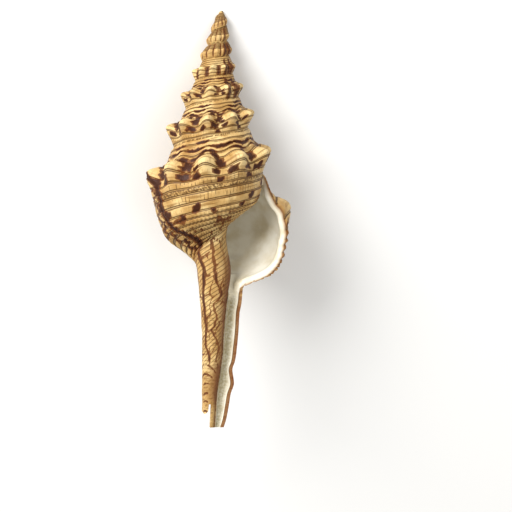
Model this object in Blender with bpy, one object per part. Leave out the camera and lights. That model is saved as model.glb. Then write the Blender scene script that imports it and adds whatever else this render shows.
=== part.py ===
"""A tall knobbed sea shell, lying on its back with its mouth up.

The shell is one wall that grew along a spiral. Its surface is worked out turn by turn from
the tip down: each turn is a strip from one suture to the next, and the last turn runs on
down over the base into a long open canal. The mouth is carried back inside the shell as a
hollow tube of a little over one turn.

The shape is worked out in millimetres in the shell's own frame: x to the shell's right as
the mouth is looked at, y away from the viewer, and depth down from the tip. The finished
mesh is in metres, laid down with the tip towards +Y and the mouth towards +Z.
"""
import math

import bmesh
import bpy
import numpy as np
from mathutils import Matrix

MM = 0.001

# Growth, in turns from the tip
TURNS = 7.5
FIRST_DEPTH = 1.68
EVEN_PITCH = 2.772
SWELLING_PITCH = 1.116
PITCH_GROWTH = 1.6
TIP_RADIUS = 1.70
TIP_BLUNTNESS = 0.5
RADIUS_GROWTH = 1.42

# One whorl, from its upper suture at 0 to its lower suture at 1
SHOULDER = 0.5
SUTURE_SHARE = 0.38
WHORL_RADIUS = ((0.0, 0.605), (0.055, 0.645), (0.27, 0.715), (0.43, 0.79), (0.5, 0.845),
                (0.61, 0.88), (0.78, 0.88), (1.0, 0.859))
LAST_TURN_SWELLING = 0.06
SWELLING_RISE = 0.4
SWELLING_FADE = 2.5

# Knobs on the shoulder, and the ribs of the first turns
KNOBS_PER_TURN = 10
KNOB_PHASE = 0.072
KNOB_HEIGHT = 0.19
KNOB_SHARPNESS = 1.3
KNOB_LIFT = 0.07
KNOB_REACH_UP = 0.13
KNOB_REACH_DOWN = 0.30
RIBS_PER_TURN = 12
RIB_HEIGHT = 0.10
RIB_FLATNESS = 0.7
RIBS_BEGIN = 0.6
RIBS_RISE = 0.8
RIBS_END = 3.0
KNOBS_BEGIN = 3.9

# The base, as share of the shoulder radius against depth from its start to its end
BASE_END = 1.32
CANAL_BEGINS = 0.72
BASE_RADIUS = ((0.0, 0.859), (0.16, 0.850), (0.35, 0.815), (0.48, 0.765), (0.57, 0.69),
               (0.64, 0.58), (0.72, 0.47), (0.82, 0.38), (0.92, 0.31), (1.0, 0.275))
LIP_BASE_END = 1.03
LIP_BASE_RADIUS = ((0.0, 0.91), (0.30, 0.875), (0.48, 0.83), (0.64, 0.755), (0.76, 0.66),
                   (0.85, 0.54), (0.93, 0.41), (1.0, 0.33))
LIP_RISE = 0.3
LIP_CALM = 0.06
CALMED_SHARE = 0.7

# The canal: places across it against depth from the tip, measured from the axis
NECK_DEPTH = 85.0
PILLAR_TURNS = 0.5
CANAL_LEFT = ((60.0, -8.5), (74.7, -6.0), (78.0, -5.4), (83.7, -4.8), (91.5, -4.2),
              (98.0, -3.9), (126.0, -3.9))
PILLAR_RIGHT = ((48.0, 9.5), (60.0, 5.2), (67.8, 3.3), (78.0, 4.7), (86.7, 3.5), (95.7, 2.6),
                (103.2, 2.1), (109.2, 1.3), (114.0, 0.6), (125.0, -0.2))
CANAL_RIGHT = ((60.0, 9.5), (83.5, 8.3), (87.0, 8.0), (90.6, 7.4), (95.7, 7.1), (100.5, 6.6),
               (105.0, 6.0), (107.6, 5.2), (111.6, 5.7), (115.0, 4.7), (118.6, 4.1),
               (122.4, 3.4), (125.0, 2.6))
CANAL_BACK = ((60.0, 8.5), (78.0, 5.8), (87.0, 4.5), (95.7, 3.9), (110.0, 3.0), (125.0, 1.9))
CANAL_END = 124.9
OLD_TIP_END = 120.7
NOTCH_END = 117.9
OLD_TIP_RIGHT = -1.9
NOTCH_RIGHT = -1.2

# Wall, lip and hollow
WALL = 1.4
CANAL_WALL = 1.1
INNER_LIP = 0.35
HOLLOW_TURNS = 1.05
HOLLOW_BOTTOM = 0.80
CORNER_INSET = 0.3
CORNER_DROP = 1.6
CLEAR = 0.25
GLAZE = 0.1
FLATTEST_FLOOR = 0.1

# The spire leans a little to the right
LEAN = 2.4
LEAN_DEPTH = 35.0
LEAN_SHIFT = -0.3
LEAN_END = 60.0

# Mesh divisions
COLUMNS = 60
WHORL_ROWS = 6
BASE_ROWS = 10
CANAL_ROWS = 10
HOLLOW_STEP = 1 / 15
PULLED_ROWS = 4
WHORL_POINTS = 30
BASE_POINTS = 49
NECK_POINTS = 13
PILLAR_POINTS = 40

# Steps into the mouth: turns back from the lip's edge, wall there, and the share of the
# way round the canal's groove from its rim to its floor
MOUTH_STEPS = ((-0.003, 1.2, -0.12), (0.003, 2.2, 0.0), (0.018, 2.0, 0.35), (0.04, 1.7, 0.7),
               (0.075, 1.5, 1.0))

# Resting place, on two knobs and the tip: rolled about the long axis, then tipped along it
REST_ROLL = -11.8
REST_TIP = -21.65
WORN_FLAT = 0.3

SHELL_COLOUR = (0.60, 0.40, 0.17, 1.0)
SHELL_ROUGHNESS = 0.45


def clear_scene():
    """Empty the scene of all objects."""
    for item in list(bpy.data.objects):
        bpy.data.objects.remove(item, do_unlink=True)


def ease(value):
    """Rise smoothly from 0 to 1 as value goes from 0 to 1."""
    share = min(max(value, 0.0), 1.0)
    return share * share * (3 - 2 * share)


def curve_through(keys, at):
    """Read a smooth curve that passes through the keys without overshoot."""
    places, values = np.array(keys, float).T
    steps = np.diff(places)
    slopes = np.diff(values) / steps
    product = slopes[:-1] * slopes[1:]
    total = np.where(product > 0, slopes[:-1] + slopes[1:], 1.0)
    inner = np.where(product > 0, 2 * product / total, 0.0)
    tangents = np.concatenate([slopes[:1], inner, slopes[-1:]])
    at = min(max(at, places[0]), places[-1])
    cell = min(int(np.searchsorted(places, at, side="right")) - 1, len(steps) - 1)
    f = (at - places[cell]) / steps[cell]
    rise = f * f * (3 - 2 * f)
    bend_in = f * (1 - f) ** 2 * steps[cell]
    bend_out = f * f * (f - 1) * steps[cell]
    start, end = values[cell], values[cell + 1]
    return start + (end - start) * rise + tangents[cell] * bend_in + tangents[cell + 1] * bend_out


def tip_rounding(t):
    """Fade the first turn in from the tip."""
    return math.sin(math.pi / 2 * min(max(t, 0.0), 1.0)) ** TIP_BLUNTNESS


def full_depth(t):
    """Depth of the shoulder below the tip."""
    return FIRST_DEPTH + EVEN_PITCH * t + SWELLING_PITCH * (PITCH_GROWTH ** t - 1)


def shoulder_radius(t):
    """Radius at the tips of the knobs."""
    return TIP_RADIUS * RADIUS_GROWTH ** t


def shoulder_depth(t):
    """Depth of the shoulder, drawn in near the tip."""
    return full_depth(t) * tip_rounding(t) ** 2


def suture_depth(t):
    """Depth of the upper suture of the whorl at t."""
    above = full_depth(t - 1)
    return (above + SUTURE_SHARE * (full_depth(t) - above)) * tip_rounding(t - 1) ** 2


def angle_of(t):
    """Angle about the axis: the mouth's edge is at 0 and the shell grows clockwise."""
    return 2 * math.pi * (TURNS - t)


def swelling(t, p):
    """Extra fullness of the last turn below its shoulder."""
    late = ease((t - (TURNS - 1)) / SWELLING_RISE)
    return LAST_TURN_SWELLING * late * ease((p - SHOULDER) / (1 - SHOULDER))


def knob_share(t, p):
    """How far a knob or rib stands out, as a share of the shoulder radius."""
    reach = KNOB_REACH_UP if p < SHOULDER else KNOB_REACH_DOWN
    across = math.exp(-((p - SHOULDER) / reach) ** 2)
    knob = (0.5 + 0.5 * math.cos(2 * math.pi * KNOBS_PER_TURN * (t - KNOB_PHASE))) ** KNOB_SHARPNESS
    rib = 0.5 + 0.5 * math.cos(2 * math.pi * RIBS_PER_TURN * t)
    grown = ease((t - RIBS_END) / (KNOBS_BEGIN - RIBS_END))
    rib_across = math.sin(math.pi * p) ** RIB_FLATNESS if 0 < p < 1 else 0.0
    early = RIB_HEIGHT * rib * rib_across * ease((t - RIBS_BEGIN) / RIBS_RISE)
    calm = 1 - CALMED_SHARE * ease((t - TURNS + LIP_CALM) / LIP_CALM)
    return grown * KNOB_HEIGHT * knob * across * calm + (1 - grown) * early


def whorl_profile(t, p, knobs=True):
    """Radius and depth of a whorl at t, from its upper suture at 0 to its lower at 1."""
    upper = suture_depth(t)
    middle = shoulder_depth(t)
    lower = suture_depth(t + 1)
    if p < SHOULDER:
        depth = upper + (middle - upper) * p / SHOULDER
        drawn_in = tip_rounding(t - 1) + (tip_rounding(t) - tip_rounding(t - 1)) * p / SHOULDER
    else:
        depth = middle + (lower - middle) * (p - SHOULDER) / (1 - SHOULDER)
        drawn_in = tip_rounding(t)
    share = curve_through(WHORL_RADIUS, p) + swelling(t, p)
    if knobs:
        stand = knob_share(t, p)
        share += stand
        depth -= KNOB_LIFT * shoulder_radius(t) * stand / KNOB_HEIGHT
    return share * shoulder_radius(t) * drawn_in, depth


def lip_share(t):
    """How far the last turn has taken on the shape of the lip."""
    return ease((t - (TURNS - LIP_RISE)) / LIP_RISE)


def base_end(t):
    """Depth where the base has narrowed to the canal."""
    reach = BASE_END + (LIP_BASE_END - BASE_END) * lip_share(t)
    return full_depth(t) + reach * shoulder_radius(t)


def base_radius(t, u):
    """Radius of the base from its start at 0 to its end at 1."""
    share = curve_through(BASE_RADIUS, u) + swelling(t, 1.0) * max(1 - SWELLING_FADE * u, 0.0)
    lip = curve_through(LIP_BASE_RADIUS, u)
    return (share + (lip - share) * lip_share(t)) * shoulder_radius(t)


def canal_point(t, depth):
    """Place on the canal's outside: the round pillar in front, the folded wall behind."""
    in_front = t <= TURNS - PILLAR_TURNS
    left = curve_through(CANAL_LEFT, depth)
    right = curve_through(PILLAR_RIGHT if in_front else CANAL_RIGHT, depth)
    half = (right - left) / 2
    thick = half if in_front else curve_through(CANAL_BACK, depth)
    angle = angle_of(t)
    return (left + right) / 2 + half * math.cos(angle), thick * math.sin(angle)


def canal_share(u):
    """How far the base has passed over into the canal."""
    return ease((u - CANAL_BEGINS) / (1 - CANAL_BEGINS))


def base_point(t, u):
    """Place on the base, which passes over into the canal towards its end."""
    start = suture_depth(t + 1)
    depth = start + (base_end(t) - start) * u
    radius = base_radius(t, u)
    angle = angle_of(t)
    x, y = canal_point(t, depth)
    canal = canal_share(u)
    round_x, round_y = radius * math.cos(angle), radius * math.sin(angle)
    return round_x + (x - round_x) * canal, round_y + (y - round_y) * canal, depth


def spaced(points, count):
    """Place count + 1 points evenly along a line of points."""
    line = np.array(points)
    lengths = np.concatenate([[0], np.cumsum(np.linalg.norm(np.diff(line, axis=0), axis=1))])
    at = np.linspace(0, lengths[-1], count + 1)
    return np.stack([np.interp(at, lengths, line[:, axis]) for axis in range(line.shape[1])], 1)


def base_line(t):
    """Points down the base at t, from the lower suture to the neck."""
    points = [base_point(t, u) for u in np.linspace(0, 1, BASE_POINTS)]
    for depth in np.linspace(base_end(t), NECK_DEPTH, NECK_POINTS)[1:]:
        points.append((*canal_point(t, depth), depth))
    return spaced(points, BASE_ROWS)


def canal_end(t):
    """Depth where the canal's wall ends: the old tip, the notch or the new tip."""
    x, _ = canal_point(t, NOTCH_END)
    if x < OLD_TIP_RIGHT:
        return OLD_TIP_END
    if x < NOTCH_RIGHT:
        return NOTCH_END
    return CANAL_END


def canal_line(t):
    """Points down the canal at t, from the neck to its end."""
    end = canal_end(t)
    depths = NECK_DEPTH + (end - NECK_DEPTH) * np.linspace(0, 1, CANAL_ROWS + 1)
    return np.array([(*canal_point(t, depth), depth) for depth in depths])


def whorl_point(t, p):
    """Place on a whorl's outside."""
    radius, depth = whorl_profile(t, p)
    angle = angle_of(t)
    return radius * math.cos(angle), radius * math.sin(angle), depth


def parietal_radius(t, depth):
    """Radius of the turn that the hollow winds round, down along its columella."""
    start = suture_depth(t + 1)
    u = (depth - start) / (base_end(t) - start)
    if u <= 0:
        middle = shoulder_depth(t)
        p = SHOULDER + (1 - SHOULDER) * (depth - middle) / (start - middle)
        return whorl_profile(t, max(p, SHOULDER), knobs=False)[0]
    mouth_turn = TURNS - 1
    scale = shoulder_radius(t) / shoulder_radius(mouth_turn)
    mouth_depth = full_depth(mouth_turn) + (depth - full_depth(t)) / scale
    columella = scale * curve_through(PILLAR_RIGHT, mouth_depth)
    return base_radius(t, min(u, 1.0)) * (1 - canal_share(u)) + columella * canal_share(u)


def hollow_section(t, wall, lip_foot=None, pillar_foot=None):
    """Outer and inner side of the hollow at t, as lines of radius and depth.

    At the mouth the two sides end at the lip's and the pillar's side of the canal's
    groove. Further back they meet in the hollow's round bottom.
    """
    start = suture_depth(t + 1)
    reach = base_end(t) - start
    profile = [whorl_profile(t, p, knobs=False) for p in np.linspace(0, 1, WHORL_POINTS)]
    profile += [(base_radius(t, u), start + reach * u) for u in np.linspace(0, 1, BASE_POINTS)[1:]]
    line = np.array(profile)
    along = np.gradient(line, axis=0)
    along /= np.linalg.norm(along, axis=1)[:, None]
    inset = line + wall * np.stack([-along[:, 1], along[:, 0]], 1)
    corner = line[0] + (CORNER_INSET, CORNER_DROP * wall)
    if lip_foot is None:
        bottom_depth = start + HOLLOW_BOTTOM * reach
        wide = inset[inset[:, 1] < bottom_depth][-1, 0]
        lip_foot = np.array([(parietal_radius(t - 1, bottom_depth) + wide) / 2, bottom_depth])
        pillar_foot = lip_foot
    keep = (inset[:, 0] > max(corner[0], lip_foot[0]) + CLEAR) | (inset[:, 1] > corner[1] + 2 * wall)
    keep &= (inset[:, 1] > line[0, 1] + CLEAR) & (inset[:, 1] < lip_foot[1] - CLEAR)
    keep &= inset[:, 0] > lip_foot[0] + CLEAR
    outer = np.vstack([corner, inset[keep], lip_foot])
    depths = np.linspace(corner[1] + CLEAR, pillar_foot[1] - CLEAR, PILLAR_POINTS)
    inner = [(parietal_radius(t - 1, depth) + GLAZE, depth) for depth in depths]
    return outer, np.vstack([corner, inner, pillar_foot])


def on_plane(section, t):
    """Turn a line of radius and depth into places at the angle of t."""
    angle = angle_of(t)
    return np.stack([section[:, 0] * math.cos(angle), section[:, 0] * math.sin(angle), section[:, 1]], 1)


def leaned(point):
    """Lean the spire to the right, with its whorls square to the leaning axis."""
    x, y, depth = point
    if depth < LEAN_DEPTH:
        rest = 1 - max(depth, 0.0) / LEAN_DEPTH
        shift = LEAN * rest * rest + LEAN_SHIFT
        slope = 2 * LEAN / LEAN_DEPTH * rest
    else:
        shift = LEAN_SHIFT * (1 - ease((depth - LEAN_DEPTH) / (LEAN_END - LEAN_DEPTH)))
        slope = 0.0
    angle = math.atan(slope)
    return x * math.cos(angle) + shift, y, depth + x * math.sin(angle)


class ShellMesh:
    """Vertices and faces of the shell, found by their place in its grids."""

    def __init__(self):
        self.mesh = bmesh.new()
        self.names = {}

    def add(self, name, point):
        """Add a vertex under a name."""
        x, y, depth = leaned(point)
        self.names[name] = self.mesh.verts.new((x * MM, -depth * MM, -y * MM))

    def alias(self, name, other):
        """Give a vertex a second name."""
        self.names[name] = self.names[other]

    def face(self, *names):
        """Add a face, leaving out corners that fall together."""
        corners = []
        for name in names:
            vertex = self.names[name]
            if vertex not in corners:
                corners.append(vertex)
        if len(corners) > 2:
            self.mesh.faces.new(corners)

    def grid(self, key, first, last, rows):
        """Fill the faces between neighbouring columns of a grid."""
        for column in range(first, last):
            for row in range(rows):
                self.face((key, column, row), (key, column, row + 1),
                          (key, column + 1, row + 1), (key, column + 1, row))


def build_whorls(shell):
    """Lay the strip of whorls from the tip to the lip."""
    last = round(TURNS * COLUMNS)
    shell.add("tip", (0, 0, 0))
    for column in range(last + 1):
        t = column / COLUMNS
        for row in range(WHORL_ROWS + 1):
            name = ("whorl", column, row)
            if column == 0 or (row == 0 and column <= COLUMNS):
                shell.alias(name, "tip")
            elif row == 0:
                shell.alias(name, ("whorl", column - COLUMNS, WHORL_ROWS))
            else:
                shell.add(name, whorl_point(t, row / WHORL_ROWS))
    shell.grid("whorl", 0, last, WHORL_ROWS)


def build_base_and_canal(shell):
    """Run the last turn on over the base and down the canal."""
    first = round((TURNS - 1) * COLUMNS)
    for column in range(COLUMNS + 1):
        t = TURNS - 1 + column / COLUMNS
        shell.alias(("base", column, 0), ("whorl", first + column, WHORL_ROWS))
        for row, point in enumerate(base_line(t)):
            if row > 0:
                shell.add(("base", column, row), point)
        shell.alias(("canal", column, 0), ("base", column, BASE_ROWS))
        for row, point in enumerate(canal_line(t)):
            if row > 0:
                shell.add(("canal", column, row), point)
    shell.grid("base", 0, COLUMNS, BASE_ROWS)
    shell.grid("canal", 0, COLUMNS, CANAL_ROWS)


def flat(point):
    """Radius and depth of a place."""
    return np.array([math.hypot(point[0], point[1]), point[2]])


def groove_points(lip, pillar, share):
    """Places on the two sides of the canal's groove, share of the way to its floor."""
    depth = (lip[2] + pillar[2]) / 2
    inner_lip = lip[0] - CANAL_WALL
    inner_pillar = pillar[0] + INNER_LIP
    middle = (inner_lip + inner_pillar) / 2
    half = (inner_lip - inner_pillar) / 2
    left = curve_through(CANAL_LEFT, depth)
    right = curve_through(CANAL_RIGHT, depth)
    aside = (middle - (left + right) / 2) / ((right - left) / 2)
    bulge = math.sqrt(max(1 - aside * aside, FLATTEST_FLOOR))
    floor = curve_through(CANAL_BACK, depth) * bulge - CANAL_WALL
    angle = math.pi / 2 * share
    across = half * math.cos(angle)
    down = floor * math.sin(angle)
    lip_depth = depth + (lip[2] - depth) * (1 - share)
    pillar_depth = depth + (pillar[2] - depth) * (1 - share)
    return (middle + across, down, lip_depth), (middle - across, down, pillar_depth)


def build_hollow(shell):
    """Carry the mouth back into the shell, and the canal's groove to its floor."""
    last = round(TURNS * COLUMNS)
    outer_rows = WHORL_ROWS + BASE_ROWS
    lip_line = [whorl_point(TURNS, row / WHORL_ROWS) for row in range(WHORL_ROWS)]
    lip_line += [tuple(point) for point in base_line(TURNS)]
    pillar_line = [tuple(point) for point in base_line(TURNS - 1)]
    lip_canal = canal_line(TURNS)
    pillar_canal = canal_line(TURNS - 1)

    for row in range(outer_rows + CANAL_ROWS + 1):
        if row <= WHORL_ROWS:
            shell.alias(("outer", 0, row), ("whorl", last, row))
        elif row <= outer_rows:
            shell.alias(("outer", 0, row), ("base", COLUMNS, row - WHORL_ROWS))
        else:
            shell.alias(("outer", 0, row), ("canal", COLUMNS, row - outer_rows))
    for row in range(BASE_ROWS + CANAL_ROWS + 1):
        if row <= BASE_ROWS:
            shell.alias(("inner", 0, row), ("base", 0, row))
        else:
            shell.alias(("inner", 0, row), ("canal", 0, row - BASE_ROWS))

    backs = [back for back, _, _ in MOUTH_STEPS]
    while backs[-1] < HOLLOW_TURNS:
        backs.append(backs[-1] + HOLLOW_STEP)
    groove_last = len(MOUTH_STEPS)
    for step, back in enumerate(backs, start=1):
        t = TURNS - back
        sides = []
        if step <= groove_last:
            _, wall, share = MOUTH_STEPS[step - 1]
            sides = [groove_points(lip_canal[row], pillar_canal[row], share)
                     for row in range(CANAL_ROWS + 1)]
            lip_foot, pillar_foot = np.array(sides[0][0]), np.array(sides[0][1])
            outer, inner = hollow_section(t, wall, flat(lip_foot), flat(pillar_foot))
        else:
            outer, inner = hollow_section(t, WALL)
        outer = on_plane(spaced(outer, outer_rows), t)
        inner = on_plane(spaced(inner, BASE_ROWS), t)
        if step > groove_last:
            lip_foot = pillar_foot = (outer[-1] + inner[-1]) / 2
        for row in range(outer_rows + 1):
            pull = ease((row - outer_rows + PULLED_ROWS) / PULLED_ROWS)
            point = outer[row] + (lip_foot - outer[-1]) * pull
            shell.add(("outer", step, row), point)
        for row in range(BASE_ROWS + 1):
            pull = ease((row - BASE_ROWS + PULLED_ROWS) / PULLED_ROWS)
            point = inner[row] + (pillar_foot - inner[-1]) * pull
            if row == 0:
                shell.alias(("inner", step, row), ("outer", step, row))
            elif row == BASE_ROWS and step >= groove_last:
                shell.alias(("inner", step, row), ("outer", step, outer_rows))
            else:
                shell.add(("inner", step, row), point)
        for row, (lip_side, pillar_side) in enumerate(sides):
            if row == 0:
                continue
            shell.add(("outer", step, outer_rows + row), lip_side)
            if step == groove_last:
                shell.alias(("inner", step, BASE_ROWS + row), ("outer", step, outer_rows + row))
            else:
                shell.add(("inner", step, BASE_ROWS + row), pillar_side)

    steps = len(backs)
    shell.grid("outer", 0, groove_last, outer_rows + CANAL_ROWS)
    shell.grid("inner", 0, groove_last, BASE_ROWS + CANAL_ROWS)
    shell.grid("outer", groove_last, steps, outer_rows)
    shell.grid("inner", groove_last, steps, BASE_ROWS)
    ring = [("outer", steps, row) for row in range(outer_rows + 1)]
    ring += [("inner", steps, row) for row in range(BASE_ROWS - 1, 0, -1)]
    shell.face(*ring)


def open_rim(mesh):
    """Vertices round the only open rim of the mesh, in order."""
    edge = next(edge for edge in mesh.edges if edge.is_boundary)
    rim = list(edge.verts)
    while True:
        edge = next(other for other in rim[-1].link_edges if other.is_boundary and other != edge)
        vertex = edge.other_vert(rim[-1])
        if vertex == rim[0]:
            return rim
        rim.append(vertex)


def build_canal_end(shell):
    """Cut the canal's end square: the old tip, the notch beside it and the new tip."""
    rim = open_rim(shell.mesh)
    above_old_tip = (NOTCH_END + OLD_TIP_END) / 2
    above_new_tip = (OLD_TIP_END + CANAL_END) / 2
    depths = [-vertex.co.y / MM for vertex in rim]
    parts = [int(depth > above_old_tip) + int(depth > above_new_tip) for depth in depths]
    first = next(i for i, part in enumerate(parts) if part == 1 and parts[i - 1] != 1)
    rim = rim[first:] + rim[:first]
    parts = parts[first:] + parts[:first]
    runs = [[rim[0]]]
    for vertex, part, part_before in zip(rim[1:], parts[1:], parts):
        if part != part_before:
            runs.append([])
        runs[-1].append(vertex)
    old_tip, notch_start, new_tip, notch_end = runs
    faces = shell.mesh.faces
    faces.new(old_tip)
    faces.new(notch_start + notch_end)
    faces.new(new_tip)
    faces.new((old_tip[-1], notch_start[0], notch_end[-1], old_tip[0]))
    faces.new((notch_start[-1], new_tip[0], new_tip[-1], notch_end[0]))


def shell_material():
    """Warm tan, faintly glossy shell."""
    material = bpy.data.materials.new("shell_matter")
    material.use_nodes = True
    shader = material.node_tree.nodes["Principled BSDF"]
    shader.inputs["Base Color"].default_value = SHELL_COLOUR
    shader.inputs["Roughness"].default_value = SHELL_ROUGHNESS
    shader.inputs["Metallic"].default_value = 0.0
    return material


def lay_down(mesh):
    """Turn the shell to its resting place, on the floor and centred over it.

    The knobs and the tip that it rests on are worn flat by a hair.
    """
    roll = Matrix.Rotation(math.radians(REST_ROLL), 4, "Y")
    mesh.transform(Matrix.Rotation(math.radians(REST_TIP), 4, "X") @ roll)
    floor = min(vertex.co.z for vertex in mesh.verts) + WORN_FLAT * MM
    parts = mesh.verts[:] + mesh.edges[:] + mesh.faces[:]
    bmesh.ops.bisect_plane(mesh, geom=parts, plane_co=(0, 0, floor), plane_no=(0, 0, 1), clear_inner=True)
    rims = [edge for edge in mesh.edges if edge.is_boundary]
    bmesh.ops.holes_fill(mesh, edges=rims)
    corners = np.array([vertex.co[:] for vertex in mesh.verts])
    low = corners.min(axis=0)
    high = corners.max(axis=0)
    mesh.transform(Matrix.Translation((-(low[0] + high[0]) / 2, -(low[1] + high[1]) / 2, -low[2])))


def build_shell():
    """Build the shell as one closed body."""
    shell = ShellMesh()
    build_whorls(shell)
    build_base_and_canal(shell)
    build_hollow(shell)
    build_canal_end(shell)
    mesh = shell.mesh
    lay_down(mesh)
    bmesh.ops.triangulate(mesh, faces=mesh.faces[:])
    bmesh.ops.recalc_face_normals(mesh, faces=mesh.faces[:])
    data = bpy.data.meshes.new("shell")
    mesh.to_mesh(data)
    mesh.free()
    data.shade_smooth()
    data.materials.append(shell_material())
    item = bpy.data.objects.new("shell", data)
    bpy.context.collection.objects.link(item)
    return item


def main():
    """Build the whole part."""
    clear_scene()
    build_shell()


main()
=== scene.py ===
"""A tall knobbed sea shell, dressed: its full sculpture, its markings and its porcelain mouth.

The shell lies on its back, on knobs and its tip, as the frame has it. Its wall is made
from flat grids that are bent into the spiral, sewn together and then given their relief.
Lengths in the shell's own frame are in millimetres: x to the shell's right as its mouth is
looked at, y away from the viewer, and depth down from the tip.
"""
import logging
import math
from collections.abc import Callable
from dataclasses import dataclass, field
from enum import Enum
from functools import partial

import bmesh
import bpy
import numpy as np
from mathutils import Matrix, Vector

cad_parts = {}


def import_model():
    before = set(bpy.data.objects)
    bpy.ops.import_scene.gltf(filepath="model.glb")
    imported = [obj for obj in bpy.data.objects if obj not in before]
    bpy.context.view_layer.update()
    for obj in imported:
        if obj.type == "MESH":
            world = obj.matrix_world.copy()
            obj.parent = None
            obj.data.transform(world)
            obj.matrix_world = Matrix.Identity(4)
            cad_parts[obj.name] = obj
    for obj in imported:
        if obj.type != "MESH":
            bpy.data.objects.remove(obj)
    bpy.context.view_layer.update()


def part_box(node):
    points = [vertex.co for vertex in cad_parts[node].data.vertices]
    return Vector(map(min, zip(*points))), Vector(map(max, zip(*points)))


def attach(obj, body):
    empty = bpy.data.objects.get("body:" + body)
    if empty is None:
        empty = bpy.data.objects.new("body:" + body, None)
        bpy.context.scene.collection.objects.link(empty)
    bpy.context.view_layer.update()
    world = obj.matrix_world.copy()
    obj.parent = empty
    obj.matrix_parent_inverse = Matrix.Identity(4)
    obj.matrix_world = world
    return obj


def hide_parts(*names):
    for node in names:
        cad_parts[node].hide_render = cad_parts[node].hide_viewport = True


LOG = logging.getLogger("shell")
MM = 0.001
TAU = 2 * math.pi
Array = np.ndarray
Keys = tuple[tuple[float, float], ...]
Socket = bpy.types.NodeSocket


class Mark(Enum):
    """Values kept on every point of the shell, for its relief and its colours."""

    RELIEF = "relief"
    FURROW = "furrow"
    # Brown markings, with the painted shade of the bars on the whorls' right side.
    STAIN_AND_SHADE = "stain"
    LINING = "lining"
    # Rust of the lip and canal, and the painted shadow along the canal's groove.
    RUST_AND_SHADE = "rust"
    PALE = "pale"
    STIPPLE = "stipple"
    TICK = "tick"
    # Painted shade deep in the canal's groove, over the groove's own grey-olive.
    SHADE = "shade"
    SLANT = "slant"
    CANAL = "canal"


def ease(value: Array | float) -> Array:
    """Rise smoothly from 0 to 1, held at its ends."""
    share = np.clip(value, 0.0, 1.0)
    return share * share * (3 - 2 * share)


def rise(value: Array | float, start: float, length: float) -> Array:
    """Rise from 0 at a start to 1 a length further on."""
    return ease((value - start) / length)


def fall(value: Array | float, end: float, length: float) -> Array:
    """Fall from 1 a length before an end to 0 at the end."""
    return ease((end - value) / length)


def hump(value: Array, width: float) -> Array:
    """Round hump of height 1 about 0, fallen to about a third at its width."""
    return np.exp(-(value / width) ** 2)


def curve_through(keys: Keys, at: Array | float) -> Array:
    """Read a smooth curve that passes through its keys without overshoot.

    Args:
        keys: Pairs of place and value, in rising order of place.
        at: Places to read.

    Returns:
        The curve's values.
    """
    places, values = np.array(keys, float).T
    steps = np.diff(places)
    slopes = np.diff(values) / steps
    product = slopes[:-1] * slopes[1:]
    total = np.where(product > 0, slopes[:-1] + slopes[1:], 1.0)
    inner = np.where(product > 0, 2 * product / total, 0.0)
    tangents = np.concatenate([slopes[:1], inner, slopes[-1:]])
    at = np.clip(at, places[0], places[-1])
    cell = np.clip(np.searchsorted(places, at, side="right") - 1, 0, len(steps) - 1)
    f = (at - places[cell]) / steps[cell]
    share = f * f * (3 - 2 * f)
    bend_in = f * (1 - f) ** 2 * steps[cell]
    bend_out = f * f * (f - 1) * steps[cell]
    start, end = values[cell], values[cell + 1]
    return start + (end - start) * share + tangents[cell] * bend_in + tangents[cell + 1] * bend_out


def scatter(first: Array, second: Array, salt: float = 0.0) -> Array:
    """Fixed scattered values from 0 to 1 for pairs of whole numbers, another set for each salt."""
    raw = np.sin(first * 12.9898 + second * 78.233 + salt * 37.719) * 43758.5453
    return raw - np.floor(raw)


def mottle(first: Array, second: Array, salt: float = 0.0) -> Array:
    """Smooth scattered field from 0 to 1, with one value to each whole step.

    Args:
        first: First coordinate.
        second: Second coordinate.
        salt: Picks another field.

    Returns:
        The field's values.
    """
    low_first, low_second = np.floor(first), np.floor(second)
    f = ease(first - low_first)
    g = ease(second - low_second)
    near = scatter(low_first, low_second, salt) * (1 - f) + scatter(low_first + 1, low_second, salt) * f
    far = scatter(low_first, low_second + 1, salt) * (1 - f)
    far = far + scatter(low_first + 1, low_second + 1, salt) * f
    return near * (1 - g) + far * g


def net(first: Array, second: Array, salt: float, width: float) -> Array:
    """Irregular net of lines, with about one mesh of it to each whole step.

    Args:
        first: First coordinate.
        second: Second coordinate.
        salt: Picks another net.
        width: Half the width of its lines.

    Returns:
        Strength from 0 inside the meshes to 1 on the lines.
    """
    low_first, low_second = np.floor(first), np.floor(second)
    nearest, next_nearest = 9.0 + 0 * first, 9.0 + 0 * first
    for i in (-1, 0, 1):
        for j in (-1, 0, 1):
            column, row = low_first + i, low_second + j
            knot_first = column + 0.15 + 0.7 * scatter(column, row, salt)
            knot_second = row + 0.15 + 0.7 * scatter(column, row, salt + 0.5)
            distance = np.hypot(first - knot_first, second - knot_second)
            next_nearest = np.minimum(next_nearest, np.maximum(nearest, distance))
            nearest = np.minimum(nearest, distance)
    return hump(next_nearest - nearest, width)


def read(layer: bpy.types.bpy_prop_collection, name: str, width: int = 1, kind: type = float) -> Array:
    """Read a value of each item of a mesh.

    Args:
        layer: The items.
        name: Name of the value.
        width: How many numbers the value has.
        kind: Kind of the numbers.

    Returns:
        The values, one row to an item.
    """
    values = np.empty(len(layer) * width, kind)
    layer.foreach_get(name, values)
    return values.reshape(-1, width)


def shares_along(line: Array) -> Array:
    """Share of a line's length at each of its points."""
    steps = np.linalg.norm(np.diff(line[:, :3], axis=0), axis=1)
    lengths = np.concatenate([[0], np.cumsum(steps)])
    return lengths / lengths[-1]


def spaced(line: Array, shares: Array) -> Array:
    """Points along a line, at shares of its length."""
    known = shares_along(line)
    return np.stack([np.interp(shares, known, line[:, axis]) for axis in range(line.shape[1])], 1)


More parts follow.
